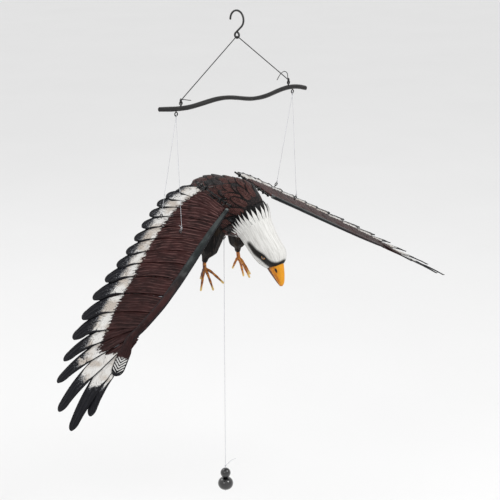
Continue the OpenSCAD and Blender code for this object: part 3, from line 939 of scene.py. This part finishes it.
def vane_sheet(bm, base, tip, half_width, columns, rows, height, pointed=1.5, bow=None, number=0.0,
               base_share=0.8, sharp=False, taper=0.0):
    """One feather's vane, drawn flat along a line bowed through a point, then raised by its height."""
    base, tip = Vector(base), Vector(tip)
    bow = (base + tip) / 2 if bow is None else Vector(bow)
    length = ((tip - base).length + (bow - base).length + (tip - bow).length) / 2
    tip_rows = 5 if rows < 12 else 8
    tip_width = half_width * (1 - taper)
    shoulder = length - tip_width * pointed
    vane, rim, line = vector_layer(bm, "vane"), number_layer(bm, "rim"), number_layer(bm, "line")
    grid = bmesh.ops.create_grid(bm, x_segments=columns, y_segments=rows, size=1)["verts"]
    for vert in grid:
        across, row = vert.co.x, (vert.co.y + 1) / 2 * rows
        if row <= rows - tip_rows:
            reach = shoulder * row / (rows - tip_rows)
            narrowing = max(0, reach / shoulder - 0.4) / 0.6
            width = half_width * (base_share + (1 - base_share) * min(1, reach / (0.5 * shoulder)))
            width *= 1 - taper * narrowing ** 1.4
        else:
            a = (row - rows + tip_rows) / tip_rows * math.pi / 2
            reach = shoulder + tip_width * pointed * (math.sin(a) if not sharp else a / (math.pi / 2))
            width = tip_width * (math.cos(a) if not sharp else 1 - a / (math.pi / 2))
        x = across * width
        share = reach / length
        end = shoulder + tip_width * pointed * math.sqrt(max(0, 1 - (x / max(width, tip_width)) ** 2))
        ahead = ((bow - base) * (1 - share) + (tip - bow) * share).normalized()
        middle = base * (1 - share) ** 2 + bow * (2 * share * (1 - share)) + tip * share ** 2
        flat = middle + Vector((ahead.y, -ahead.x)) * x
        wander = 3.4 * noise.noise(Vector((x * 0.08, reach * 0.05, number)))
        vert[vane] = (x, length - reach, number)
        vert[rim] = min(width - abs(x), end - reach)
        vert[line] = x + wander
        vert.co = (flat.x, flat.y, height(x, across, share, vert[line]))
    return grid


def thicken(bm, thickness):
    """Gives sheets their thickness, below their upper faces."""
    for face in bm.faces:
        if face.normal.z < 0:
            face.normal_flip()
    bmesh.ops.solidify(bm, geom=bm.faces[:], thickness=thickness)


# Wing outlines as (distance along the wing, distance behind the hinge line, negative ahead of it).
FRONT_EDGE = [(7, -34), (45, -48), (88, -66), (126, -81), (164, -94), (198, -102), (222, -105), (246, -119)]
SECONDARY_TIPS = [(26, 37), (45, 38), (62, 35), (80, 28), (99, 20), (119, 10),
                  (140, 0), (161, -8), (185, -16), (212, -27), (239, -41), (264, -56)]
PRIMARY_ROOTS = [(196, -94), (204, -97), (210, -100), (214, -102), (218, -104)]
PRIMARY_TIPS = [(290, -72), (313, -90), (335, -121), (341, -149), (315, -149)]
PRIMARY_SWEEPS = [-12, -13, -25, -32, -40]
ALULA_BASE, ALULA_TIP = (222, -103), (264, -129)
ROOT_S = 7
BLADE_THICKNESS = 0.85
RIDGE_HEIGHT = 0.21
# Where each painted edge runs: the white and black ones as (distance along the wing, how far
# forward of the hinge line), the wrist and tip ones the other way round.
WHITE_EDGE = [(11, -15), (36, -16), (63, -10), (86, -2), (122, 15), (167, 37), (204, 56), (245, 82),
              (256, 88)]
WRIST_EDGE = [(70, 264), (82, 256), (99, 250), (112, 237)]
BLACK_EDGE = [(13, -32), (45, -31), (66, -25), (88, -15), (120, 0), (160, 20), (202, 40), (240, 62),
              (266, 80), (288, 102)]
TIP_EDGE = [(60, 260), (68, 266), (97, 288), (119, 293), (127, 281)]
# How wide the rounded front edge is, at distances along the wing.
ARM_WIDTHS = [(7, 5), (45, 8), (88, 10.5), (126, 11), (164, 11), (200, 11), (225, 10), (246, 6), (258, 3)]


def paint_guides(bm):
    """Stores how far each point of a wing lies past the edges of its painted bands."""
    layers = {name: number_layer(bm, name) for name in ("span", "white", "black", "lead")}
    for vert in bm.verts:
        s, forward = vert.co.x, -vert.co.y
        vert[layers["span"]] = s
        past_brown = (along(WHITE_EDGE, s) - forward) * 0.9
        vert[layers["white"]] = max(past_brown, (s - along(WRIST_EDGE, forward)) * 0.85)
        black = (along(BLACK_EDGE, s) - forward) * 0.9
        vert[layers["black"]] = max(black if s < 275 else -99, (s - along(TIP_EDGE, forward)) * 0.9)
        vert[layers["lead"]] = along(FRONT_EDGE, s) * -1 - forward


def blade_height(level, slope, camber):
    """The upper face of a flight feather: overlapped like a shingle, crowned, and lined by ridges."""
    def height(x, across, share, line):
        ridge = math.cos(2 * math.pi * line / RIDGE_PITCH)
        fade = min(1, 6 * (1 - share)) * min(1, 5 * (1 - abs(across)))
        quill = max(0, 1 - abs(x) / 0.8) * 0.45 * min(1, 8 * (1 - share))
        return level + slope * across + camber * (1 - across ** 2) + RIDGE_HEIGHT * ridge * fade + quill
    return height


def split_faces(bm, upper=0, lower=1):
    """The upper face and the rim take the first finish, and the lower face the second."""
    bm.normal_update()
    for face in bm.faces:
        face.material_index = lower if face.normal.z < -0.6 else upper


def back_from(base, tip, by):
    """A feather's base, moved back along its line."""
    base, tip = Vector(base), Vector(tip)
    return base - (tip - base).normalized() * by


def finish_blades(bm):
    """Thickens the laid blades and readies them for their paint."""
    bmesh.ops.remove_doubles(bm, verts=bm.verts, dist=0.0005)
    thicken(bm, BLADE_THICKNESS)
    paint_guides(bm)
    split_faces(bm)


def bow_of(root, tip, sweep):
    """The point that a feather's line bows through, for its tip to lie at that angle to the wing."""
    root, tip = Vector(root), Vector(tip)
    sweep = math.radians(sweep)
    return tip - Vector((math.cos(sweep), math.sin(sweep))) * (tip - root).length / 2


def make_web(side, body, finishes, place):
    """The moulded sheet that the feathers stand out from, from the front edge to the white band's end."""
    bm = bmesh.new()
    rim, line = number_layer(bm, "rim"), number_layer(bm, "line")
    vane = vector_layer(bm, "vane")
    grid = bmesh.ops.create_grid(bm, x_segments=64, y_segments=120, size=1)["verts"]
    for vert in grid:
        back, share = (vert.co.x + 1) / 2, (vert.co.y + 1) / 2
        s = ROOT_S + (247 - ROOT_S) * share
        front = along(FRONT_EDGE + [(262, -126)], s) + 1.5 + max(0, s - 235) * 0.4
        rear = max(front + 6, 5 - along(BLACK_EDGE, s) - max(0, 16 - s) * 0.6)
        y = front + (rear - front) * back
        vert[rim] = 9
        vert[line] = y * 0.8 - s * 0.25 + 3.0 * noise.noise(Vector((s * 0.05, y * 0.08, 4)))
        vert[vane] = (y, s, 90)
        ridge = math.cos(2 * math.pi * vert[line] / RIDGE_PITCH)
        vert.co = (s, y, 0.15 + 0.5 * RIDGE_HEIGHT * ridge)
    thicken(bm, 0.6)
    paint_guides(bm)
    split_faces(bm)
    make_piece(bm, f"{side}_wing_web", body, "wing_feathers", finishes, place)


def make_wing(side, finishes, arm_finish, alula_finish):
    """One wing: its sheet, its flight feathers, the wrist feather and the front edge."""
    place = wing_place(side)
    body = f"{side}_wing"
    make_web(side, body, finishes, place)

    bm = bmesh.new()
    for k, tip in enumerate(SECONDARY_TIPS):
        outer = k / (len(SECONDARY_TIPS) - 1)
        root_s = max(9, tip[0] - 80 * (1 - math.exp(-(k + 1) / 3.2)))
        root = (root_s, along(FRONT_EDGE, root_s) + 5)
        sweep = 22 + 25 * math.exp(-k / 1.2) - 3.2 * k
        vane_sheet(bm, root, tip, 12 + 3.5 * outer, 28, 56, blade_height(0.9, 0.95, 0.3),
                   bow=bow_of(root, tip, sweep), number=k * 1.7, base_share=1.0,
                   taper=0.24 + 0.28 * outer, pointed=1.1 + 0.8 * outer)
    bmesh.ops.bisect_plane(bm, geom=bm.verts[:] + bm.edges[:] + bm.faces[:], plane_co=(ROOT_S, 0, 0),
                           plane_no=(1, 0, 0), clear_inner=True)
    finish_blades(bm)
    make_piece(bm, f"{side}_wing_secondary_feathers", body, "wing_feathers", finishes, place,
               replaces=[f"wing_{side}"])

    bm = bmesh.new()
    for k, (root, tip, sweep) in enumerate(zip(PRIMARY_ROOTS, PRIMARY_TIPS, PRIMARY_SWEEPS)):
        vane_sheet(bm, root, tip, 10 - 0.3 * k, 24, 64, blade_height(0.75 - 0.25 * k, 0.9, 0.3),
                   pointed=2.3, bow=bow_of(root, tip, sweep), number=31 + k * 1.7,
                   base_share=0.62, taper=0.42)
    finish_blades(bm)
    make_piece(bm, f"{side}_wing_primary_feathers", body, "wing_feathers", finishes, place)

    bm = bmesh.new()
    vane_sheet(bm, back_from(ALULA_BASE, ALULA_TIP, 6), ALULA_TIP, 7.2, 16, 30,
               lambda x, across, share, line: 2.6 + 0.7 * (1 - across ** 2) - 0.9 * share,
               pointed=1.6, number=47, base_share=0.45)
    bmesh.ops.remove_doubles(bm, verts=bm.verts, dist=0.0005)
    thicken(bm, 1.4)
    paint_guides(bm)
    make_piece(bm, f"{side}_wing_wrist_feather", body, "wing_feathers", [alula_finish], place)

    make_arm(side, body, arm_finish, place)


def make_arm(side, body, finish, place):
    """The thick rounded front edge that holds the feathers' roots."""
    bm = bmesh.new()
    count = 90
    path, sizes = [], []
    for k in range(count + 1):
        s = ROOT_S + (258 - ROOT_S) * k / count
        wide = along(ARM_WIDTHS, s)
        thick = along([(7, 2.3), (60, 2.2), (200, 1.7), (258, 1.0)], s)
        path.append(Vector((s, along(FRONT_EDGE + [(258, -124)], s) + wide / 2 - 1.0, 0.75)))
        sizes.append((wide / 2, thick))
    for _ in range(6):
        path = path[:1] + [(a + b + c) / 3 for a, b, c in zip(path, path[1:], path[2:])] + path[-1:]
    places = places_along(path, up=(0, 0, 1))
    span, across_edge = number_layer(bm, "span"), number_layer(bm, "across_edge")
    sides = 36
    for index, vert in enumerate(loft(bm, places, sizes, sides)):
        station = index // sides
        local = places[station].inverted() @ vert.co
        vert[span] = path[station].x
        vert[across_edge] = local.x / sizes[station][0]
    for vert in bm.verts:
        if not vert[span]:
            vert[span] = vert.co.x
    make_piece(bm, f"{side}_wing_front_edge", body, "wing_feathers", [finish], place, crease=80)


# ---- Body ----

# How narrow the torso is for its height, and the balls it is wrapped round, as (y, z, radius).
SQUASH = 0.86
TORSO_BALLS = [(-30, -33, 25), (-8, -20, 33), (14, -24, 36), (36, -12, 22), (58, -9, 11)]


def torso_section(y):
    """(height of the middle, half width, half height) of the torso at y: the balls' hull."""
    top, bottom, wide = -1e9, 1e9, 0.5
    for i, first in enumerate(TORSO_BALLS):
        for second in TORSO_BALLS[i + 1:]:
            for step in range(25):
                t = step / 24
                by, bz, br = (a + (b - a) * t for a, b in zip(first, second))
                if abs(y - by) < br:
                    half = math.sqrt(br ** 2 - (y - by) ** 2)
                    top, bottom, wide = max(top, bz + half), min(bottom, bz - half), max(wide, SQUASH * half)
    return (top + bottom) / 2, wide, (top - bottom) / 2


def make_torso(finish):
    """The smooth body that the feathers lie on. Returns its surface, to lay them by."""
    bm = bmesh.new()
    places, sizes = [], []
    count = 40
    for k in range(count + 1):
        y = 6.6 - 60.4 * math.cos(math.pi * (0.02 + 0.96 * k / count))
        middle, wide, high = torso_section(y)
        places.append(Matrix.Translation((0, y, middle)) @ Matrix.Rotation(-math.pi / 2, 4, "X"))
        sizes.append((wide, high))
    loft(bm, places, sizes, 64)
    for _ in range(3):
        bmesh.ops.smooth_vert(bm, verts=bm.verts, factor=0.5,
                              use_axis_x=True, use_axis_y=True, use_axis_z=True)
    bmesh.ops.recalc_face_normals(bm, faces=bm.faces)
    surface = BVHTree.FromBMesh(bm)
    make_piece(bm, "body_shell", "bird", "body_feathers", [finish], BIRD,
               replaces=["body_right", "body_left"])
    return surface


def lay_feather(bm, surface, root, ahead, out, length, half_width, lift, number):
    """Lays one small feather on a surface, from its root, with its tip standing a little proud."""
    ahead = (ahead - out * ahead.dot(out)).normalized()
    aside = ahead.cross(out)
    verts = vane_sheet(bm, (0, 0), (0, length), half_width, 4, 7,
                       lambda x, across, share, line: (lift + 0.5) * share - 0.5 * across ** 2,
                       pointed=2.7, number=number, base_share=0.75)
    for vert in verts:
        flat = root + aside * vert.co.x + ahead * vert.co.y
        spot, normal, _, _ = surface.find_nearest(flat)
        vert.co = spot + normal * vert.co.z


def close_feathers(bm, thickness, surface=None, reach=3.5):
    """Turns laid sheets into thin closed feathers, none of it far from the surface they lie on."""
    bmesh.ops.remove_doubles(bm, verts=bm.verts, dist=0.0005)
    bmesh.ops.recalc_face_normals(bm, faces=bm.faces)
    bmesh.ops.solidify(bm, geom=bm.faces[:], thickness=thickness)
    for vert in bm.verts if surface else ():
        spot, _, _, away = surface.find_nearest(vert.co)
        if away > reach:
            vert.co = spot + (vert.co - spot) * (reach / away)


def on_torso(surface, y, angle):
    """The point and outward direction on the torso at y, that angle round from its top."""
    middle, wide, high = torso_section(y)
    ray = Vector((math.sin(angle) * wide, 0, math.cos(angle) * high)).normalized()
    centre = Vector((0, y, middle))
    spot, normal, _, _ = surface.ray_cast(centre + ray * 120, -ray)
    return spot, normal


def make_body_feathers(surface, finish, dice):
    """Rows of overlapping feathers round the body, each row under the tips of the one before."""
    bm = bmesh.new()
    number = 0
    for row in range(13):
        y = -38 + 8.2 * row
        _, wide, high = torso_section(min(y, 62))
        around = math.pi * (wide + high)
        count = max(9, round(around / 9.0))
        for k in range(count):
            angle = 2 * math.pi * (k + 0.5 * (row % 2)) / count
            spot, normal = on_torso(surface, min(y, 64), angle)
            if spot is None:
                continue
            ahead = Vector((dice.uniform(-0.12, 0.12), 1, dice.uniform(-0.05, 0.05)))
            lay_feather(bm, surface, spot, ahead, normal, dice.uniform(22, 29), dice.uniform(5.4, 7.2),
                        dice.uniform(1.3, 2.2), number)
            number += 1
    close_feathers(bm, 0.7, surface)
    make_piece(bm, "body_feathers", "bird", "body_feathers", [finish], BIRD, crease=70)


# ---- Head ----

NECK_AT = Vector((0, -33, -37))
# The head's line in (y, z) from the neck to the beak, and its (half width, half height) at each point.
HEAD_LINE = [(-24, -25), (-33, -37), (-42, -48.5), (-51, -60), (-59, -70), (-64, -77), (-69, -84),
             (-72, -89)]
HEAD_SIZES = [(22.5, 26.5), (22.0, 25.6), (20.4, 23.6), (18.6, 21.6), (16.8, 19.8), (14.6, 17.2),
              (10.4, 12.4), (5.0, 6.5)]
BROW_LINE = [(17.5, -46, -59), (17.0, -54, -67), (15.5, -62, -71.5), (13.8, -68, -76), (10.5, -73, -80.5),
             (6.0, -78, -82), (0, -82, -81.5)]
EYE_AT = Vector((14.6, -65.0, -72.5))


def brow_distance(point):
    """Distance in millimetres from the dark band that runs from the cheek to the beak's root."""
    spot = Vector((abs(point.x), point.y, point.z))
    least = 99
    for index, (a, b) in enumerate(zip(BROW_LINE, BROW_LINE[1:])):
        a, b = Vector(a), Vector(b)
        t = min(1, max(0, (spot - a).dot(b - a) / (b - a).length_squared))
        least = min(least, (spot - a.lerp(b, t)).length - 0.55 * (index + t))
    return least


def make_head(finish):
    """The white head: a tapering neck, a crown that bulges over the beak, and a hollow for each eye."""
    bm = bmesh.new()
    line = smooth_line([(0, y, z) for y, z in HEAD_LINE], 7)
    steps = [k / 7 for k in range(len(line))]
    widths = list(enumerate(size[0] for size in HEAD_SIZES))
    heights = list(enumerate(size[1] for size in HEAD_SIZES))
    places = places_along(line, up=(0, -0.8, 0.6))
    layers = {name: number_layer(bm, name) for name in ("forward", "turn", "facing_down", "band")}
    sides = 72
    verts = loft(bm, places, [(along(widths, s), along(heights, s)) for s in steps], sides)
    count = len(line)
    for index, vert in enumerate(verts):
        station = index // sides
        local = places[station].inverted() @ vert.co
        angle = math.atan2(local.x, local.y)
        forward = station / (count - 1)
        top = math.cos(angle)
        crown = math.exp(-((forward - 0.80) / 0.24) ** 2) * max(0, top) ** 1.3
        cheek = math.exp(-((forward - 0.55) / 0.22) ** 2) * math.exp(-((abs(angle) - 2.0) / 0.6) ** 2)
        ruffle = 0.35 * noise.noise(Vector((angle * 5, forward * 6, 2)))
        out = (vert.co - places[station].translation).normalized()
        vert.co += out * (8.0 * crown + cheek + ruffle)
        socket = (Vector((abs(vert.co.x), vert.co.y, vert.co.z)) - EYE_AT).length
        if socket < 8:
            vert.co.x -= math.copysign(1.5 * (1 - socket / 8), vert.co.x)
        vert[layers["forward"]] = forward * 78
        vert[layers["turn"]] = abs(angle)
        vert[layers["facing_down"]] = -top
        vert[layers["band"]] = brow_distance(vert.co)
    for vert in bm.verts:
        if not vert[layers["forward"]]:
            vert[layers["band"]] = brow_distance(vert.co)
    bmesh.ops.recalc_face_normals(bm, faces=bm.faces)
    surface = BVHTree.FromBMesh(bm)
    make_piece(bm, "head_shell", "bird", "head_feathers", [finish], BIRD, levels=1, replaces=["head"])
    return surface


def make_brows(finish):
    """A low ridge over each eye, from the beak back to the cheek."""
    bm = bmesh.new()
    for side in (-1, 1):
        path = smooth_line([(side * 16.2, -56, -66.0), (side * 15.9, -62, -69.0), (side * 14.6, -68, -71.6),
                            (side * 12.0, -73.5, -75.5)], 6)
        radii = [0.5 + 1.2 * math.sin(math.pi * k / (len(path) - 1)) for k in range(len(path))]
        rod(bm, path, radii, 12)
    for name in ("forward", "turn", "facing_down"):
        layer = number_layer(bm, name)
        for vert in bm.verts:
            vert[layer] = {"forward": -vert.co.y, "turn": abs(vert.co.x) * 0.1, "facing_down": -0.5}[name]
    band = number_layer(bm, "band")
    for vert in bm.verts:
        vert[band] = brow_distance(vert.co) - 0.8
    make_piece(bm, "brow_ridges", "bird", "head_feathers", [finish], BIRD)


def make_neck_fringe(torso, head, black, white, dice):
    """Black pointed feathers round the neck, and longer white ones over them."""
    axis = Vector((0, -0.64, -0.77)).normalized()
    up = Vector((0, -0.77, 0.64)).normalized()
    aside = Vector((1, 0, 0))
    for name, finish, slot, count, back, length, half, lift, sink in (
            ("black_neck_feathers", black, "body_feathers", 30, 3.5, 17, 4.2, 1.4, 0.2),
            ("white_neck_feathers", white, "head_feathers", 28, 9.0, 20, 2.5, 2.6, 0.3)):
        bm = bmesh.new()
        for k in range(count):
            angle = 2 * math.pi * (k + (0.5 if finish is white else 0)) / count
            ray = up * math.cos(angle) + aside * math.sin(angle)
            centre = NECK_AT + axis * (back if finish is white else 1.0)
            surface = head if finish is white else torso
            spot, normal, _, _ = surface.ray_cast(centre + ray * 90, -ray)
            if spot is None:
                continue
            facing_down = max(0, -math.cos(angle))
            reach = length * dice.uniform(0.85, 1.1) * (1 - 0.45 * facing_down)
            lay_neck_feather(bm, surface, torso, spot, -axis, normal, reach, half,
                             lift * (1 - 0.7 * facing_down), k + 0.5, sink)
        close_feathers(bm, 0.6)
        make_piece(bm, name, "bird", slot, [finish], BIRD, crease=70)


def lay_neck_feather(bm, near, far, root, ahead, out, length, half_width, lift, number, sink):
    """A pointed feather that starts on one surface and ends on another, whichever is outermost."""
    ahead = (ahead - out * ahead.dot(out)).normalized()
    aside = ahead.cross(out)
    def height(x, across, share, line):
        return -sink + (lift + sink) * min(1, share * 1.6) + 0.3 * (1 - across ** 2)
    verts = vane_sheet(bm, (0, 0), (0, length), half_width, 2, 9, height,
                       pointed=length / half_width * 0.62, number=number, sharp=True, base_share=1.0)
    for vert in verts:
        flat = root + aside * vert.co.x + ahead * vert.co.y
        best = None
        for surface in (near, far):
            spot, normal, _, _ = surface.find_nearest(flat)
            place = spot + normal * vert.co.z
            if best is None or (place - NECK_AT).length > (best - NECK_AT).length:
                best = place
        vert.co = best


def make_beak(finish):
    """A tapering beak with a rounded tip, a crease at the mouth, and a dent at each nostril."""
    bm = bmesh.new()
    line = smooth_line([(0, -69.5, -81.5), (0, -73.8, -89.5), (0, -77.8, -97.5), (0, -80.8, -104.8),
                        (0, -82, -110.2)], 7)
    count = len(line)
    size = [(0, 13.0), (0.25, 11.0), (0.5, 8.2), (0.75, 5.3), (0.92, 3.2), (1, 1.6)]
    places = places_along(line, up=(0, -0.93, 0.37))
    sizes = [(0.78 * along(size, k / (count - 1)), along(size, k / (count - 1))) for k in range(count)]
    layers = {name: number_layer(bm, name) for name in ("forward", "facing_down", "nostril")}
    sides = 40
    for index, vert in enumerate(loft(bm, places, sizes, sides)):
        station = index // sides
        local = places[station].inverted() @ vert.co
        angle = math.atan2(local.x, local.y)
        forward = station / (count - 1)
        mouth = math.exp(-((abs(angle) - 1.95) / 0.10) ** 2) * min(1, 3 * (1 - forward))
        keel = max(0, math.cos(angle)) ** 6
        middle = places[station].translation
        vert.co += (vert.co - middle) * (-0.09 * mouth + 0.05 * keel)
        nostril = math.hypot((forward - 0.30) * 17, (abs(angle) - 0.95) * 9.5)
        if nostril < 1.8:
            vert.co -= (vert.co - middle) * 0.07 * (1 - nostril / 1.8)
        vert[layers["forward"]] = forward
        vert[layers["facing_down"]] = -math.cos(angle)
        vert[layers["nostril"]] = nostril
    for vert in bm.verts:
        if not vert[layers["nostril"]]:
            vert[layers["nostril"]] = 9
            vert[layers["forward"]] = 1.0 if vert.co.z < -95 else 0.0
    make_piece(bm, "beak_shell", "bird", "beak", [finish], BIRD, levels=1, replaces=["beak"])


def make_eyes(head, finish):
    """Two round eyes, each set halfway into the head."""
    bm = bmesh.new()
    gaze = number_layer(bm, "gaze")
    for side in (-1, 1):
        spot, _, _, _ = head.ray_cast(Vector((side * 60, EYE_AT.y, EYE_AT.z)), Vector((-side, 0, 0)))
        at = spot - Vector((side * 1.1, 0, 0))
        look = Vector((side * 0.9, -0.32, -0.1)).normalized()
        turn = Matrix.Translation(at) @ look.to_track_quat("Z", "Y").to_matrix().to_4x4()
        ball = bmesh.ops.create_uvsphere(bm, u_segments=28, v_segments=20, radius=3.0, matrix=turn)["verts"]
        for vert in ball:
            vert[gaze] = (vert.co - at).normalized().dot(look)
    make_piece(bm, "eye_balls", "bird", "eyes", [finish], BIRD, replaces=["eyes"])


# ---- Tail, thighs and feet ----

def make_tail(finish):
    """A flat fan of nine feathers, the middle one on top."""
    bm = bmesh.new()
    count = 9
    for k in range(count):
        turn = math.radians(30 * (k / (count - 1) * 2 - 1))
        level = 0.55 * (4 - abs(k - 4)) - 1.2
        tip = (50 * math.sin(turn), 50 * math.cos(turn))
        vane_sheet(bm, (0.06 * tip[0], -10), tip, 5.2, 10, 26,
                   lambda x, across, share, line: level + 0.5 * (1 - across ** 2)
                   + max(0, 1 - abs(x) / 0.6) * 0.3,
                   pointed=2.4, number=60 + k * 1.3)
    bmesh.ops.remove_doubles(bm, verts=bm.verts, dist=0.0005)
    thicken(bm, 0.9)
    place = BIRD @ Matrix.Translation((0, 54, -9)) @ Matrix.Rotation(math.radians(-14), 4, "X")
    make_piece(bm, "tail_feathers", "bird", "tail_feathers", [finish], place, replaces=["tail"])


def mirrored(points, side):
    """The points as they are for the left side (1) or mirrored for the right side (-1)."""
    return [Vector((side * point[0], point[1], point[2])) for point in points]


def make_thigh(side_name, side, finish):
    """A feathered thigh: full above, cut to an angular hem, then down to the ankle."""
    bm = bmesh.new()
    path = mirrored([(17, 11, -40), (21, 13, -54), (25, 16, -68), (27.6, 18, -77.5), (28.8, 19, -82.5),
                     (30.0, 20, -87.5), (31, 21, -94)], side)
    sizes = [(14, 15), (13.4, 14), (12.2, 12.8), (11.3, 12.2), (8.4, 9.0), (4.6, 4.9), (3.1, 3.2)]
    line = smooth_line(path, 5)
    steps = [k / 5 for k in range(len(line))]
    widths = list(enumerate(size[0] for size in sizes))
    depths = list(enumerate(size[1] for size in sizes))
    places = places_along(line, up=(0, 1, 0))
    sides = 40
    verts = loft(bm, places, [(along(widths, s), along(depths, s)) for s in steps], sides)
    for index, vert in enumerate(verts):
        station = index // sides
        angle = 2 * math.pi * (index % sides) / sides
        middle = places[station].translation
        full = min(1, max(0, 5.6 - station / 5) / 2)
        flute = 0.055 * math.cos(7 * angle + station * 0.12) + 0.03 * math.cos(15 * angle)
        hem = 0.9 * math.cos(7 * angle) * math.exp(-((station / 5 - 3.4) / 0.8) ** 2)
        vert.co = middle + (vert.co - middle) * (1 + flute * full) + Vector((0, 0, hem))
    make_piece(bm, f"{side_name}_thigh", "bird", "thigh_feathers", [finish], BIRD, levels=1,
               replaces=[f"thigh_{side_name}"])


# The foot's points on the left side.
TOE_TIPS = [(30, 29, -118), (40, 19, -129), (34, 3, -126), (25, -6, -117)]
ANKLE, TOE_ROOT = (31, 21, -92), (31.6, 20, -102)


def make_foot(side_name, side, finish):
    """A thin leg and four tapering toes with knuckles."""
    bm = bmesh.new()
    reach, under = number_layer(bm, "reach"), number_layer(bm, "facing_down")
    leg = smooth_line(mirrored([ANKLE, (31.4, 20.6, -97), TOE_ROOT, (31.8, 19.4, -104.5)], side), 5)
    limbs = [(leg, [2.45 + 0.35 * (k / 15) ** 2 for k in range(16)], 0.0, 0.35)]
    for tip in TOE_TIPS:
        root, end = mirrored([TOE_ROOT, tip], side)
        bow = Vector((0, 0, 2.0))
        outward = (end - root).normalized() * 0.4
        knuckles = [root.lerp(end, 0.3) + bow, root.lerp(end, 0.66) + bow * 0.7]
        path = smooth_line([root - outward, *knuckles, end], 7)
        count = len(path) - 1
        radii = [(2.05 - 0.75 * k / count) * (1 + 0.10 * math.cos(6 * math.pi * k / count))
                 for k in range(count + 1)]
        limbs.append((path, radii, 0.3, 1.0))
    sides = 14
    for path, radii, first, last in limbs:
        end = len(path) - 1
        for index, vert in enumerate(rod(bm, path, radii, sides)):
            station = min(end, max(0, index // sides - len(ROUNDED_END)))
            vert[reach] = first + (last - first) * station / end
            out = (vert.co - path[station]).normalized()
            vert[under] = out.dot(Vector((side * 0.75, 0.35, -0.55)).normalized())
    make_piece(bm, f"{side_name}_foot", "bird", "feet", [finish], BIRD, levels=1,
               replaces=[f"foot_{side_name}"])


# ---- The whole object ----

def paint_nodes(finish, *names):
    """Gives CAD nodes that are shown as they are their finish."""
    for name in names:
        node = frame["nodes"][name]
        node.data.materials.clear()
        node.data.materials.append(finish)


def build():
    """Makes every piece, from the hook's cords down to the feet."""
    set_camera()
    set_studio()
    black_cord, clear_line = hang_cords()
    knob_pieces = make_knob(knob_lacquer(), clear_line)
    hang_pull_cord()
    make_ties(black_cord)
    make_line_ties(clear_line)
    make_bar(bar_paint())
    paint_nodes(painted_metal("black_hook_wire", (0.010, 0.010, 0.010), (0.09, 0.085, 0.08), 0.34), "hook")
    black_steel = screw_steel("black_screw_eyes", (0.014, 0.014, 0.015))
    bright_steel = screw_steel("bright_screw_eyes", (0.10, 0.10, 0.105))
    paint_nodes(black_steel, "bar_top_eyes", "bar_bottom_eyes", "wing_left_lift_eyes", "belly_eye",
                "body_hinge_eyes", "wing_left_hinge_eyes", "wing_right_hinge_eyes",
                "hinge_rod_right", "hinge_rod_left")
    paint_nodes(bright_steel, "wing_right_lift_eyes")

    dice = random.Random(8)
    wing_finishes = [wing_top(), wing_under()]
    arm_finish, alula_finish = wing_arm_paint(), alula_paint()
    for side in ("right", "left"):
        make_wing(side, wing_finishes, arm_finish, alula_finish)
    torso = make_torso(skin_paint())
    make_body_feathers(torso, body_paint("brown_body_feathers", 0.55), dice)
    head_finish = head_paint()
    head = make_head(head_finish)
    make_brows(head_finish)
    black_neck = body_paint("black_neck_feather_paint", -0.6, 0.5)
    make_neck_fringe(torso, head, black_neck, white_tooth_paint(), dice)
    make_beak(beak_paint())
    make_eyes(head, eye_paint())
    make_tail(tail_paint())
    thigh_finish, foot_finish = thigh_paint(), foot_paint()
    for side_name, side in (("right", -1), ("left", 1)):
        make_thigh(side_name, side, thigh_finish)
        make_foot(side_name, side, foot_finish)


build()
